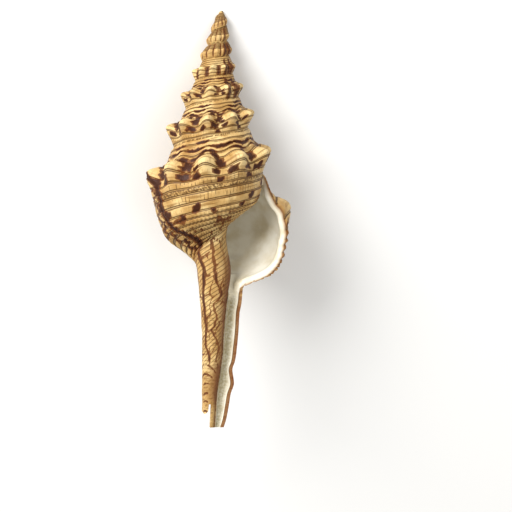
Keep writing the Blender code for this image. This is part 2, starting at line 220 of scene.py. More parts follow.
@dataclass(frozen=True)
class Window:
    """A stretch that something fades in and out over."""

    start: float = -math.inf
    fade_in: float = 1.0
    end: float = math.inf
    fade_out: float = 1.0

    def at(self, value: Array | float) -> Array:
        """Share from 0 outside the stretch to 1 within it."""
        return rise(value, self.start, self.fade_in) * fall(value, self.end, self.fade_out)


@dataclass(frozen=True)
class Swell:
    """A round swelling about a place, with the width at which it has fallen to about a third."""

    middle: float
    width: float

    def at(self, value: Array) -> Array:
        """Share from 0 far away to 1 at the middle."""
        return hump(value - self.middle, self.width)


@dataclass(frozen=True)
class Arch:
    """An arch over a whorl, 0 at its sutures and beyond."""

    roundness: float

    def at(self, value: Array) -> Array:
        """Share from 0 at the sutures to 1 midway."""
        return np.sin(math.pi * np.clip(value, 0, 1)) ** self.roundness * (value < 1)


@dataclass(frozen=True)
class Weave:
    """A mottled field: how fast it changes along its coordinates, which one it is, and its values."""

    first: float
    second: float
    salt: float
    more: float = 1.0
    least: float = 0.0

    def at(self, first: Array, second: Array | float = 0.0) -> Array:
        """The field's values, from the least up."""
        across = second * self.second + 0 * first
        return self.least + self.more * mottle(first * self.first, across, self.salt)


@dataclass(frozen=True)
class Marking:
    """Brown marking: its pattern, how strong and sharp it is, and where along and across it shows."""

    pattern: str
    strength: float
    sharpness: float
    along: Window | Swell
    across: Window | Swell | Arch


@dataclass(frozen=True)
class Blot:
    """One kind of brown blotch that comes back in each gap between knobs.

    Places along the turn are in knob spacings from the middle of the gap.
    """

    along: float
    level: float
    long: float
    high: float
    chance: float
    salt: float
    first_turn: float = 4.0


@dataclass(frozen=True)
class Growth:
    """The law that the shell grew by, in turns from its tip."""

    turns: float = 7.5
    first_depth: float = 1.68
    even_pitch: float = 2.772
    swelling_pitch: float = 1.116
    pitch_growth: float = 1.6
    tip_radius: float = 1.70
    radius_growth: float = 1.42
    suture_share: float = 0.38

    def rounding(self, t: Array) -> Array:
        """Fade the first turn in from the tip."""
        return np.sin(math.pi / 2 * np.clip(t, 0.0, 1.0)) ** 0.5

    def full_depth(self, t: Array) -> Array:
        """Depth of the shoulder below the tip."""
        return self.first_depth + self.even_pitch * t + self.swelling_pitch * (self.pitch_growth ** t - 1)

    def radius(self, t: Array) -> Array:
        """Radius at the tips of the knobs."""
        return self.tip_radius * self.radius_growth ** t

    def shoulder(self, t: Array) -> Array:
        """Depth of the shoulder, drawn in near the tip."""
        return self.full_depth(t) * self.rounding(t) ** 2

    def suture(self, t: Array) -> Array:
        """Depth of the upper suture of the whorl at t."""
        above = self.full_depth(t - 1)
        share = above + self.suture_share * (self.full_depth(t) - above)
        return share * self.rounding(t - 1) ** 2

    def angle(self, t: Array) -> Array:
        """Angle about the axis: 0 at the mouth's edge, growing clockwise seen from the tip."""
        return TAU * (self.turns - t)


@dataclass(frozen=True)
class Sculpture:
    """Knobs, ribs, cords and growth lines, the stains that follow them, and painted shade on the whorls'
    right side.

    Places along the growth are in turns, and places across it are girths: 0 to 1 over a
    whorl and 1 to 2 over the base. Heights are shares of the radius, except at the tip.
    Lengths along the former lip's strip, and its heights, are in millimetres.
    """

    growth: Growth
    shoulder: float = 0.5
    knobs: int = 10
    knob_phase: float = 0.072
    knob_height: float = 0.19
    knob_lift: float = 0.07
    knob_up: float = 0.13
    knob_down: float = 0.30
    ribs: int = 12
    rib_height: float = 0.10
    ribs_end: float = 3.0
    knobs_begin: float = 3.9
    furrows: tuple[float, ...] = (0.0, 0.10, 0.20, 0.30, 0.40, 0.63, 0.81, 0.95, 1.06, 1.22, 1.38, 1.47,
                                  1.55, 1.62, 1.69, 1.76, 1.83, 1.90, 1.97, 2.04)
    furrow_width: float = 0.028
    furrow_share: float = 0.22
    row_step: float = 0.035
    furrow_depth: float = 0.020
    stippled: Window = Window(0.95, 0.01, 1.06, 0.01)
    stippled_turns: Window = Window(6.0, 0.3)
    ticked: tuple[Window, ...] = (Window(0.81, 0.03, 0.95, 0.03), Window(1.06, 0.03, 1.22, 0.03))
    ticked_turns: Window = Window(5.5, 0.5)
    ticks_fade: float = 2.0
    blots: tuple[Blot, ...] = (
        Blot(0.02, 0.50, 0.155, 0.100, 1.0, 1.0, 4.4),
        Blot(0.20, 0.715, 0.150, 0.062, 0.95, 2.0),
        Blot(-0.26, 0.74, 0.120, 0.058, 0.85, 3.0),
        Blot(-0.17, 0.60, 0.100, 0.048, 0.7, 4.0),
        Blot(0.30, 0.40, 0.110, 0.048, 0.7, 5.0),
        Blot(0.10, 0.88, 0.110, 0.052, 0.6, 6.0),
        Blot(0.20, 1.14, 0.140, 0.072, 0.6, 7.0),
        Blot(-0.10, 1.30, 0.140, 0.065, 0.75, 8.0),
        Blot(0.30, 1.42, 0.120, 0.042, 0.7, 13.0),
        Blot(0.00, 0.20, 0.42, 0.032, 0.8, 9.0),
        Blot(0.35, 0.31, 0.34, 0.032, 0.8, 10.0),
        Blot(-0.30, 0.10, 0.34, 0.028, 0.7, 11.0),
        Blot(-0.10, 0.36, 0.20, 0.028, 0.6, 12.0),
    )
    blot_raggedness: float = 0.9
    blot_ends: Weave = Weave(46, 30, 62.0)
    blot_edges: Weave = Weave(100, 12, 61.0)
    blot_stray: float = 0.16
    blot_lift: float = 0.5
    blot_size: tuple[float, float] = (0.85, 0.4)
    blot_skew: float = 0.8
    blot_strength: float = 1.15
    blot_squareness: int = 5
    blot_fade: float = 0.5
    knob_sharpness: float = 1.3
    rib_arch: Arch = Arch(0.7)
    rib_turns: Window = Window(0.6, 0.8)
    lip_calm: float = 0.06
    lip_loss: float = 0.7
    sag: float = 0.075
    sag_fade: float = 1.5
    cords_across: Window = Window(0.0, 0.06)
    cords_along: Window = Window(1.2, 1.5)
    crest: float = 0.35
    crest_width: float = 0.4
    cord_sink: float = 0.8
    growth_lines: tuple[tuple[float, Weave], ...] = (
        (0.006, Weave(95, 1.5, 1.0)),
        (0.010, Weave(41, 1, 2.0)),
    )
    beaded_cords: Window = Window(1.36, 0.12)
    beads: int = 70
    bead_height: float = 0.011
    bead_slant: float = 1.2
    young_turns: Window = Window(0.8, 0.6, 3.8, 1.4)
    young_arch: Arch = Arch(1.0)
    young_bulge: float = 0.11
    young_sink: float = 0.02
    tip_fullness: float = 0.45
    tip_turns: Window = Window(end=1.6, fade_out=0.9)
    crown_fullness: float = 0.5
    crown_level: Swell = Swell(0.19, 0.12)
    crown_turn: Swell = Swell(1.0, 0.3)
    # Bars at one place in each turn, on the whorls' right side: painted shade there, partly brown stain.
    shade_and_stain_bars: tuple[float, float] = (0.595, 0.66)
    shade_and_stain_bar_width: float = 0.018
    lattice: tuple[Weave, Weave] = (Weave(64, 1.3, 41.0), Weave(22, 5, 42.0))
    markings: tuple[Marking, ...] = (
        Marking("knob_gaps", 0.95, 2.2, Window(3.0, 0.5, 4.6, 0.4), Window(0.34, 0.12, 1.0, 0.1)),
        Marking("rib_gaps", 0.95, 2.5, Window(0.25, 0.5, 3.9, 0.6), Arch(0.6)),
        Marking("rib_gaps", 0.95, 2.5, Swell(0.85, 0.28), Swell(0.22, 0.1)),
        # Painted shade down the right side of the spire's whorls, partly brown stain.
        Marking("side", 0.9, 1.0, Window(1.4, 0.4, 5.3, 0.3), Window(0.08, 0.1, 1.02, 0.05)),
        Marking("lattice", 1.25, 1.0, Window(), Window(1.36, 0.1, 2.05, 0.1)),
    )
    old_lip: Keys = ((0.0, 7.02), (0.5, 6.99), (0.75, 6.945), (1.0, 6.928), (1.25, 6.93), (1.5, 6.912),
                     (1.7, 6.878), (1.85, 6.848), (2.0, 6.83))
    old_lip_waves: float = 0.0030
    old_lip_narrowing: tuple[float, float] = (0.85, 0.5)
    old_lip_lower: Window = Window(1.15, 0.75)
    old_lip_relief: Window = Window(0.5, 0.1, 1.95, 0.15)
    old_lip_ridge: tuple[float, Swell] = (0.30, Swell(-0.7, 0.6))
    old_lip_dip: tuple[float, Swell] = (0.34, Swell(0.2, 0.45))
    strip_beads: Window = Window(0.0, 0.5, 3.6, 1.0)
    strip_bead_height: float = 0.20
    strip_bead_spacing: float = 1.5
    old_lip_across: Window = Window(0.50, 0.06, 2.04, 0.06)
    old_lip_thickness: tuple[float, float] = (1.25, 0.25)
    old_lip_thinning: Window = Window(1.1, 0.4)
    old_lip_line: tuple[float, float] = (1.6, 0.1)
    strip: Window = Window(1.6, 0.6, 6.4, 1.2)
    strip_spot_spacing: float = 3.4
    strip_spot_stray: Weave = Weave(11, 0.3, 23.0, 2.4)
    strip_spots: tuple[float, float] = (0.10, 1.05)
    strip_fading: Weave = Weave(0.7, 12, 24.0, 0.6, 0.55)

    def knob_beat(self, t: Array) -> Array:
        """Beat of the knobs: 1 on a knob and -1 in the gap."""
        return np.cos(TAU * self.knobs * (t - self.knob_phase))

    def rib_beat(self, t: Array) -> Array:
        """Beat of the young ribs: 1 on a rib and -1 in the gap."""
        return np.cos(TAU * self.ribs * t)

    def stand(self, t: Array, p: Array) -> Array:
        """How far a knob or rib stands out, as a share of the shoulder radius.

        Args:
            t: Turns from the tip.
            p: Place across the whorl, from its upper suture at 0 to its lower at 1.

        Returns:
            Share of the shoulder radius.
        """
        reach = np.where(p < self.shoulder, self.knob_up, self.knob_down)
        across = np.exp(-((p - self.shoulder) / reach) ** 2)
        beat = 0.5 + 0.5 * self.knob_beat(t)
        rib = 0.5 + 0.5 * self.rib_beat(t)
        grown = rise(t, self.ribs_end, self.knobs_begin - self.ribs_end)
        early = self.rib_height * rib * self.rib_arch.at(p) * self.rib_turns.at(t)
        calm = 1 - self.lip_loss * rise(t, self.growth.turns - self.lip_calm, self.lip_calm)
        late = self.knob_height * beat ** self.knob_sharpness * across * calm
        return grown * late + (1 - grown) * early

    def sagged(self, t: Array, p: Array) -> Array:
        """Where the cord at p runs across the whorl: over the knobs and down between them."""
        grown = rise(t, self.knobs_begin, self.sag_fade)
        return p - self.sag * 0.5 * self.knob_beat(t) * grown * np.sin(math.pi * p ** 0.8) ** 2

    def cord_beat(self, girth: Array) -> Array:
        """Place across the cords, in cords, from girth 0 to 1 on a whorl and 1 to 2 on the base."""
        return np.interp(girth, self.furrows, np.arange(len(self.furrows)))

    def furrow_halves(self) -> Array:
        """Half the width of the furrows beside each cord."""
        return np.minimum(self.furrow_width, self.furrow_share * np.diff(self.furrows))

    def from_furrow(self, girth: Array) -> Array:
        """Distance from the nearest furrow, 0 in its middle and 1 at its edges and beyond."""
        beat = self.cord_beat(girth)
        cord = np.clip(np.floor(beat).astype(int), 0, len(self.furrows) - 2)
        distance = np.abs(beat - np.rint(beat)) * np.diff(self.furrows)[cord]
        return np.clip(distance / self.furrow_halves()[cord], 0.0, 1.0)

    def rows_between(self, start: float, end: float) -> list[float]:
        """Girths for rows of points, with one along each furrow and each furrow's edges.

        Args:
            start: Girth of the first row.
            end: Girth of the last row.

        Returns:
            The rows' girths.
        """
        rows = [start]
        for low, high, half in zip(self.furrows, self.furrows[1:], self.furrow_halves()):
            count = max(1, round((high - low - 2 * half) / self.row_step))
            inside = np.linspace(low + half, high - half, count + 1)
            rows += [value for value in (*inside, high) if start + half / 2 < value < end - half / 2]
        return rows + [end]

    def relief(self, t: Array, girth: Array) -> Array:
        """Height of cords and growth lines above the smooth wall, in millimetres.

        Args:
            t: Turns from the tip.
            girth: 0 to 1 across a whorl, 1 to 2 over the base.

        Returns:
            Height in millimetres.
        """
        furrow = self.from_furrow(girth)
        crest = self.crest * hump(furrow, self.crest_width) - self.cord_sink
        height = self.furrow_depth * (ease(furrow) + crest)
        height = height * self.cords_across.at(girth) * self.cords_along.at(t)
        for most, weave in self.growth_lines:
            height = height + (weave.at(t, girth) - 0.5) * most
        beads = np.cos(TAU * self.beads * t + self.bead_slant * np.sin(TAU * girth))
        height = height + self.bead_height * beads * ease(furrow) * self.beaded_cords.at(girth)
        bulge = self.young_bulge * self.young_arch.at(girth) - self.young_sink
        height = (height + self.young_turns.at(t) * bulge) * self.growth.radius(t)
        tip = self.tip_fullness * self.tip_turns.at(t)
        crown = self.crown_fullness * self.crown_level.at(girth) * self.crown_turn.at(t)
        return height + tip + crown + self.old_lip_step(t, girth)

    def past_old_lip(self, t: Array, girth: Array) -> Array:
        """Distance beyond the former lip, in millimetres along the growth.

        Args:
            t: Turns from the tip.
            girth: Place across the whorl and base.

        Returns:
            The distance, below 0 where the shell is older.
        """
        waves = self.old_lip_waves * np.sin(TAU * self.cord_beat(girth))
        past = t - curve_through(self.old_lip, girth) - waves
        upper, less = self.old_lip_narrowing
        narrowing = upper - less * self.old_lip_lower.at(girth)
        return past * TAU * self.growth.radius(t) * narrowing

    def old_lip_step(self, t: Array, girth: Array) -> Array:
        """Low step and the beaded strip where the shell once stopped growing.

        Args:
            t: Turns from the tip.
            girth: Place across the whorl and base.

        Returns:
            Height in millimetres.
        """
        past = self.past_old_lip(t, girth)
        (high, ridge), (deep, dip) = self.old_lip_ridge, self.old_lip_dip
        step = high * ridge.at(past) - deep * dip.at(past)
        beads = self.strip_bead_height * np.cos(TAU * past / self.strip_bead_spacing)
        beads = beads * self.strip_beads.at(past) * ease(self.from_furrow(girth))
        return (step + beads) * self.old_lip_relief.at(girth)

    def blotches(self, t: Array, girth: Array) -> Array:
        """Strength of the brown blotches between the knobs.

        Args:
            t: Turns from the tip.
            girth: Place across the whorl and base.

        Returns:
            Strength, dark above about a half.
        """
        gap = self.knobs * (t - self.knob_phase) - 0.5
        strength = 0 * (t + girth)
        torn = self.blot_raggedness * (self.blot_edges.at(t, girth) - 0.5)
        notched = self.blot_raggedness * (self.blot_ends.at(t, girth) - 0.5)
        least, more = self.blot_size
        for blot in self.blots:
            cell = np.rint(gap - blot.along)
            aside = gap - blot.along - cell - self.blot_stray * (scatter(cell, blot.salt, 1.0) - 0.5)
            up = girth - blot.level - self.blot_lift * blot.high * (scatter(cell, blot.salt, 2.0) - 0.5)
            size = least + more * scatter(cell, blot.salt, 3.0)
            skewed = aside - self.blot_skew * up * (scatter(cell, blot.salt, 5.0) - 0.5)
            long_share = np.abs(skewed / (blot.long * size) + notched) ** self.blot_squareness
            high_share = np.abs(up / (blot.high * size) + torn) ** self.blot_squareness
            present = scatter(cell, blot.salt, 4.0) < blot.chance
            shown = self.blot_strength * present * rise(t, blot.first_turn, self.blot_fade)
            strength = np.maximum(strength, shown * np.exp(-long_share - high_share))
        return strength

    def old_lip_stain(self, t: Array, girth: Array) -> Array:
        """Dark line and the spotted strip along the former lip.

        Args:
            t: Turns from the tip.
            girth: Place across the whorl and base.

        Returns:
            Strength, dark above about a half.
        """
        past = self.past_old_lip(t, girth)
        thickness, less = self.old_lip_thickness
        thick = thickness - less * self.old_lip_thinning.at(girth)
        most, middle = self.old_lip_line
        line = most * hump((past - middle) / thick, 1.0)
        parity = math.pi * np.floor(self.cord_beat(girth))
        phase = TAU * past / self.strip_spot_spacing + parity + self.strip_spot_stray.at(girth, past)
        ground, spot = self.strip_spots
        spots = ground + spot * (0.5 + 0.5 * np.cos(phase))
        strip = self.strip.at(past) * spots * self.strip_fading.at(past, girth)
        return np.maximum(line, strip) * self.old_lip_across.at(girth)

    def stain(self, t: Array, girth: Array) -> Array:
        """Strength of the dark brown markings, with painted shade in bars on the whorls' right side.

        Args:
            t: Turns from the tip.
            girth: Place across the whorl and base.

        Returns:
            Strength, dark above about a half.
        """
        fine, coarse = self.lattice
        apart = [t - turn - np.rint(t - turn) for turn in self.shade_and_stain_bars]
        patterns = {
            "knob_gaps": 0.5 - 0.5 * self.knob_beat(t),
            "rib_gaps": 0.5 - 0.5 * self.rib_beat(t),
            # Painted shade on the whorls' right side, partly brown stain.
            "side": np.maximum.reduce([hump(gap, self.shade_and_stain_bar_width) for gap in apart]),
            "lattice": fine.at(t, self.cord_beat(girth)) * coarse.at(t, girth),
        }
        drawn = [self.blotches(t, girth), self.old_lip_stain(t, girth)]
        for mark in self.markings:
            pattern = mark.strength * patterns[mark.pattern] ** mark.sharpness
            drawn.append(pattern * mark.along.at(t) * mark.across.at(girth))
        return np.maximum.reduce(drawn)


@dataclass(frozen=True)
class Canal:
    """The long open canal: places across it against depth from the tip."""

    neck: float = 85.0
    end: float = 124.9
    old_tip: float = 120.7
    notch: float = 117.9
    old_tip_right: float = -1.9
    old_tip_middle: float = -2.9
    old_tip_round: float = 0.7
    notch_right: float = -1.2
    wall: float = 1.1
    inner_lip: float = 0.35
    left: Keys = ((60.0, -8.5), (74.7, -6.0), (78.0, -5.4), (83.7, -4.8), (91.5, -4.2),
                  (98.0, -3.9), (126.0, -3.9))
    pillar: Keys = ((48.0, 9.5), (60.0, 5.2), (67.8, 3.3), (78.0, 4.7), (86.7, 3.5), (95.7, 2.6),
                    (103.2, 2.1), (109.2, 1.3), (114.0, 0.6), (125.0, -0.2))
    right: Keys = ((60.0, 9.5), (83.5, 8.3), (87.0, 8.0), (90.6, 7.4), (95.7, 7.1), (100.5, 6.6),
                   (105.0, 6.0), (107.6, 5.2), (111.6, 5.7), (115.0, 4.7), (118.6, 4.1),
                   (122.4, 3.4), (125.0, 2.6))
    back: Keys = ((60.0, 8.5), (78.0, 5.8), (87.0, 4.5), (95.7, 3.9), (110.0, 3.0), (125.0, 1.9))

    def outside(self, t: Array, depth: Array, growth: Growth) -> tuple[Array, Array]:
        """Place on the outside: the round pillar in front, the folded wall behind.

        Args:
            t: Turns from the tip.
            depth: Depth from the tip.
            growth: The shell's growth law.

        Returns:
            x and y in millimetres.
        """
        left = curve_through(self.left, depth)
        in_front = t <= growth.turns - 0.5
        right = np.where(in_front, curve_through(self.pillar, depth), curve_through(self.right, depth))
        half = (right - left) / 2
        thick = np.where(in_front, half, curve_through(self.back, depth))
        angle = growth.angle(t)
        return (left + right) / 2 + half * np.cos(angle), thick * np.sin(angle)

    def end_depth(self, t: float, growth: Growth) -> float:
        """Depth where the wall ends: the old tip, the notch or the new tip."""
        x, _ = self.outside(np.array(t), np.array(self.notch), growth)
        if x < self.old_tip_right:
            from_middle = (x - self.old_tip_middle) / (self.old_tip_right - self.old_tip_middle)
            return self.old_tip - self.old_tip_round * from_middle ** 2
        if x < self.notch_right:
            return self.notch
        return self.end

    def groove(self, lip: Array, pillar: Array, share: float) -> tuple[Array, Array]:
        """Places on the two sides of the groove.

        Args:
            lip: Places down the lip's side of the groove's rim.
            pillar: Places down the pillar's side.
            share: Share of the way from the rim to the floor.

        Returns:
            Places on the lip's side and on the pillar's side.
        """
        depth = (lip[:, 2] + pillar[:, 2]) / 2
        inner_lip = lip[:, 0] - self.wall
        inner_pillar = pillar[:, 0] + self.inner_lip
        middle = (inner_lip + inner_pillar) / 2
        half = (inner_lip - inner_pillar) / 2
        left = curve_through(self.left, depth)
        right = curve_through(self.right, depth)
        aside = (middle - (left + right) / 2) / ((right - left) / 2)
        floor = curve_through(self.back, depth) * np.sqrt(np.maximum(1 - aside ** 2, 0.1)) - self.wall
        angle = math.pi / 2 * share
        across = half * math.cos(angle)
        down = floor * math.sin(angle)
        lip_depth = depth + (lip[:, 2] - depth) * (1 - share)
        pillar_depth = depth + (pillar[:, 2] - depth) * (1 - share)
        lip_side = np.stack([middle + across, down, lip_depth], 1)
        return lip_side, np.stack([middle - across, down, pillar_depth], 1)


@dataclass(frozen=True)
class Strand:
    """One wavering brown line down the canal, with its place in millimetres round it."""

    aside: float
    width: float
    sways: tuple[tuple[float, Weave], ...]
    fading: Weave
    drawn_in: float = 0.0


@dataclass(frozen=True)
class CanalSkin:
    """Relief and markings of the canal's outside.

    Places round the canal are in millimetres from the middle of its front.
    """

    front_turn: float = 6.75
    reckoned_radius: float = 3.4
    begins: Window = Window(58.0, 5.0)
    low: Window = Window(104.0, 3.0)
    behind: Window = Window(7.02, 0.05)
    ring_spacing: float = 2.8
    ring_sharpness: int = 8
    ring_bend: float = 0.16
    ring_middle: float = 1.7
    ring_stray: Weave = Weave(0.4, 0.3, 33.0, 0.9)
    ring_centre: float = 1.9
    ring_reach: tuple[float, float] = (1.5, 3.6)
    ring_narrowing: Window = Window(end=113.0, fade_out=7.0)
    ring_edge: float = 0.7
    ring_depth: float = 0.14
    ring_stain: float = 1.05
    swelling: float = 0.16
    swelling_weave: Weave = Weave(0.8, 0.35, 35.0)
    strands: tuple[Strand, ...] = (
        Strand(-1.0, 0.42, ((2.4, Weave(0.26, 0, 51.0)), (0.7, Weave(0.9, 0, 52.0))),
               Weave(0.4, 0, 53.0, 0.50, 0.50)),
        Strand(2.4, 0.50, ((0.9, Weave(0.22, 0, 54.0)), (0.3, Weave(1.1, 0, 55.0))),
               Weave(0.5, 0, 56.0, 0.3, 0.85), 1.6),
    )
    strands_drawn_in: Window = Window(98.0, 9.0)
    mesh_size: tuple[float, float] = (2.9, 6.0)
    mesh_slants: tuple[float, float] = (0.12, 0.8)
    mesh_stray: Weave = Weave(0.35, 0.4, 57.0, 0.9)
    mesh_salt: float = 58.0
    mesh_line: float = 0.10
    mesh_strength: Weave = Weave(0.28, 0.5, 59.0, 0.55, 0.42)
    side_line: Swell = Swell(5.6, 0.4)
    side_line_strength: float = 0.8
    side_line_sway: tuple[float, float] = (0.25, 0.7)
    back_mesh_size: tuple[float, float] = (3.4, 7.0)
    back_salt: float = 40.0
    back_strength: Weave = Weave(0.2, 0.4, 39.0, 0.8, 0.4)
    # The strip is painted shadow along the edge where the front turns into the groove, laid on in reddish
    # brown.
    strip_turn: float = 6.50
    strip_strength: float = 1.4
    strip_widths: tuple[float, float, float] = (0.12, 0.04, 0.13)
    strip_narrows: Window = Window(92.0, 8.0)
    strip_widens: Window = Window(end=119.0, fade_out=4.0)
    strip_begins: Window = Window(70.0, 6.0)
    lip_strip: Swell = Swell(7.50, 0.03)
    lip_strip_begins: Window = Window(84.0, 6.0)
    flush: float = 0.6
    flush_turns: Window = Window(end=6.68, fade_out=0.06)
    flush_begins: Window = Window(72.0, 6.0)
    slant_step: float = 1.3
    slant: float = 0.85
    low_calm: float = 0.8

    def rings(self, around: Array, depth: Array) -> Array:
        """Curved rings across the front of the canal.

        Args:
            around: Place round the canal.
            depth: Depth from the tip.

        Returns:
            Strength from 0 to 1 on a ring.
        """
        bent = depth - self.ring_bend * (around - self.ring_middle) ** 2
        bent = bent + self.ring_stray.at(depth, around)
        rings = (0.5 + 0.5 * np.cos(TAU * bent / self.ring_spacing)) ** self.ring_sharpness
        least, more = self.ring_reach
        reach = least + more * self.ring_narrowing.at(depth)
        return rings * ease((reach - np.abs(around - self.ring_centre)) / self.ring_edge + 0.5)

    def lines(self, around: Array, depth: Array) -> Array:
        """Wavering lines down the front of the canal, and the net between them.

        Args:
            around: Place round the canal.
            depth: Depth from the tip.

        Returns:
            Strength of the lines.
        """
        across, down = self.mesh_size
        along_slant, across_slant = self.mesh_slants
        bent = (around + depth * along_slant) / across + self.mesh_stray.at(depth, around)
        meshes = net(bent, (depth - across_slant * around) / down, self.mesh_salt, self.mesh_line)
        lines = self.mesh_strength.at(depth, around) * meshes
        for strand in self.strands:
            wander = sum(reach * (weave.at(depth) - 0.5) for reach, weave in strand.sways)
            wander = wander - strand.drawn_in * self.strands_drawn_in.at(depth)
            line = hump(around - strand.aside - wander, strand.width)
            lines = np.maximum(lines, line * strand.fading.at(depth))
        return lines

    def stain(self, t: Array, around: Array, depth: Array) -> Array:
        """Strength of the dark brown markings.

        Args:
            t: Turns from the tip.
            around: Place round the canal.
            depth: Depth from the tip.

        Returns:
            Strength, dark above about a half.
        """
        low, behind = self.low.at(depth), self.behind.at(t)
        front = self.lines(around, depth) * (1 - low) * (1 - behind)
        sway, rate = self.side_line_sway
        side = self.side_line_strength * self.side_line.at(around - sway * np.sin(depth * rate))
        across, down = self.back_mesh_size
        back = behind * net(around / across, depth / down, self.back_salt, self.mesh_line)
        back = back * self.back_strength.at(depth, around)
        crescents = self.ring_stain * self.rings(around, depth) * low
        return np.maximum.reduce([front, side, crescents, back])

    def rust(self, t: Array, depth: Array) -> Array:
        """Rust along its lip and in a flush over its front, and painted shadow in reddish brown down the
        canal's left side, at the groove's edge.

        Args:
            t: Turns from the tip.
            depth: Depth from the tip.

        Returns:
            Strength from 0 to 1.
        """
        low = self.low.at(depth)
        upper, less, lower = self.strip_widths
        width = upper - less * self.strip_narrows.at(depth) + lower * low * self.strip_widens.at(depth)
        # Painted shadow along the groove's edge.
        strip = np.minimum(self.strip_strength * hump(t - self.strip_turn, width), 1.0)
        strip = strip * self.strip_begins.at(depth)
        lip = self.lip_strip.at(t) * self.lip_strip_begins.at(depth)
        flush = self.flush * self.flush_turns.at(t) * (1 - low) * self.flush_begins.at(depth)
        return np.maximum.reduce([strip, lip, flush])

    def marks(self, t: Array, depth: Array) -> dict[Mark, Array]:
        """Relief and markings of the canal's outside.

        Args:
            t: Turns from the tip.
            depth: Depth from the tip.

        Returns:
            The marks at each place.
        """
        begun, low = self.begins.at(depth), self.low.at(depth)
        around = (t - self.front_turn) * TAU * self.reckoned_radius
        relief = self.swelling * (self.swelling_weave.at(around, depth) - 0.5)
        relief = relief - self.ring_depth * self.rings(around, depth) * low
        return {
            Mark.RELIEF: begun * relief,
            Mark.FURROW: 1 + 0 * depth,
            Mark.STAIN_AND_SHADE: begun * self.stain(t, around, depth),
            Mark.RUST_AND_SHADE: begun * self.rust(t, depth),
            Mark.SLANT: (depth - self.slant * around) / self.slant_step,
            Mark.CANAL: begun * (1 - self.low_calm * low),
        }


@dataclass
class Sheet:
    """One flat grid of the wall, bent into place."""

    name: str
    places: Array
    growth_map: Array
    marks: dict[Mark, Array]

    def make(self) -> bpy.types.Object:
        """Add a grid and bend it to the sheet's places.

        Returns:
            The new object, with its growth map and its marks.
        """
        columns, rows = self.places.shape[0] - 1, self.places.shape[1] - 1
        bpy.ops.mesh.primitive_grid_add(x_subdivisions=columns, y_subdivisions=rows, size=1.0)
        item = bpy.context.object
        item.name = self.name
        mesh = item.data
        flat = read(mesh.vertices, "co", 3)
        column = np.rint((flat[:, 0] + 0.5) * columns).astype(int)
        row = np.rint((flat[:, 1] + 0.5) * rows).astype(int)
        x, y, depth = self.places[column, row].T
        mesh.vertices.foreach_set("co", (np.stack([x, -depth, -y], 1) * MM).ravel())
        corner = read(mesh.loops, "vertex_index", 1, int)[:, 0]
        mesh.uv_layers.active.name = "growth"
        corner_map = self.growth_map[column, row][corner]
        mesh.uv_layers["growth"].uv.foreach_set("vector", corner_map.ravel())
        for mark in Mark:
            layer = mesh.attributes.new(mark.value, "FLOAT", "POINT")
            values = self.marks.get(mark)
            if values is not None:
                layer.data.foreach_set("value", values[column, row].astype(np.float32))
        return item


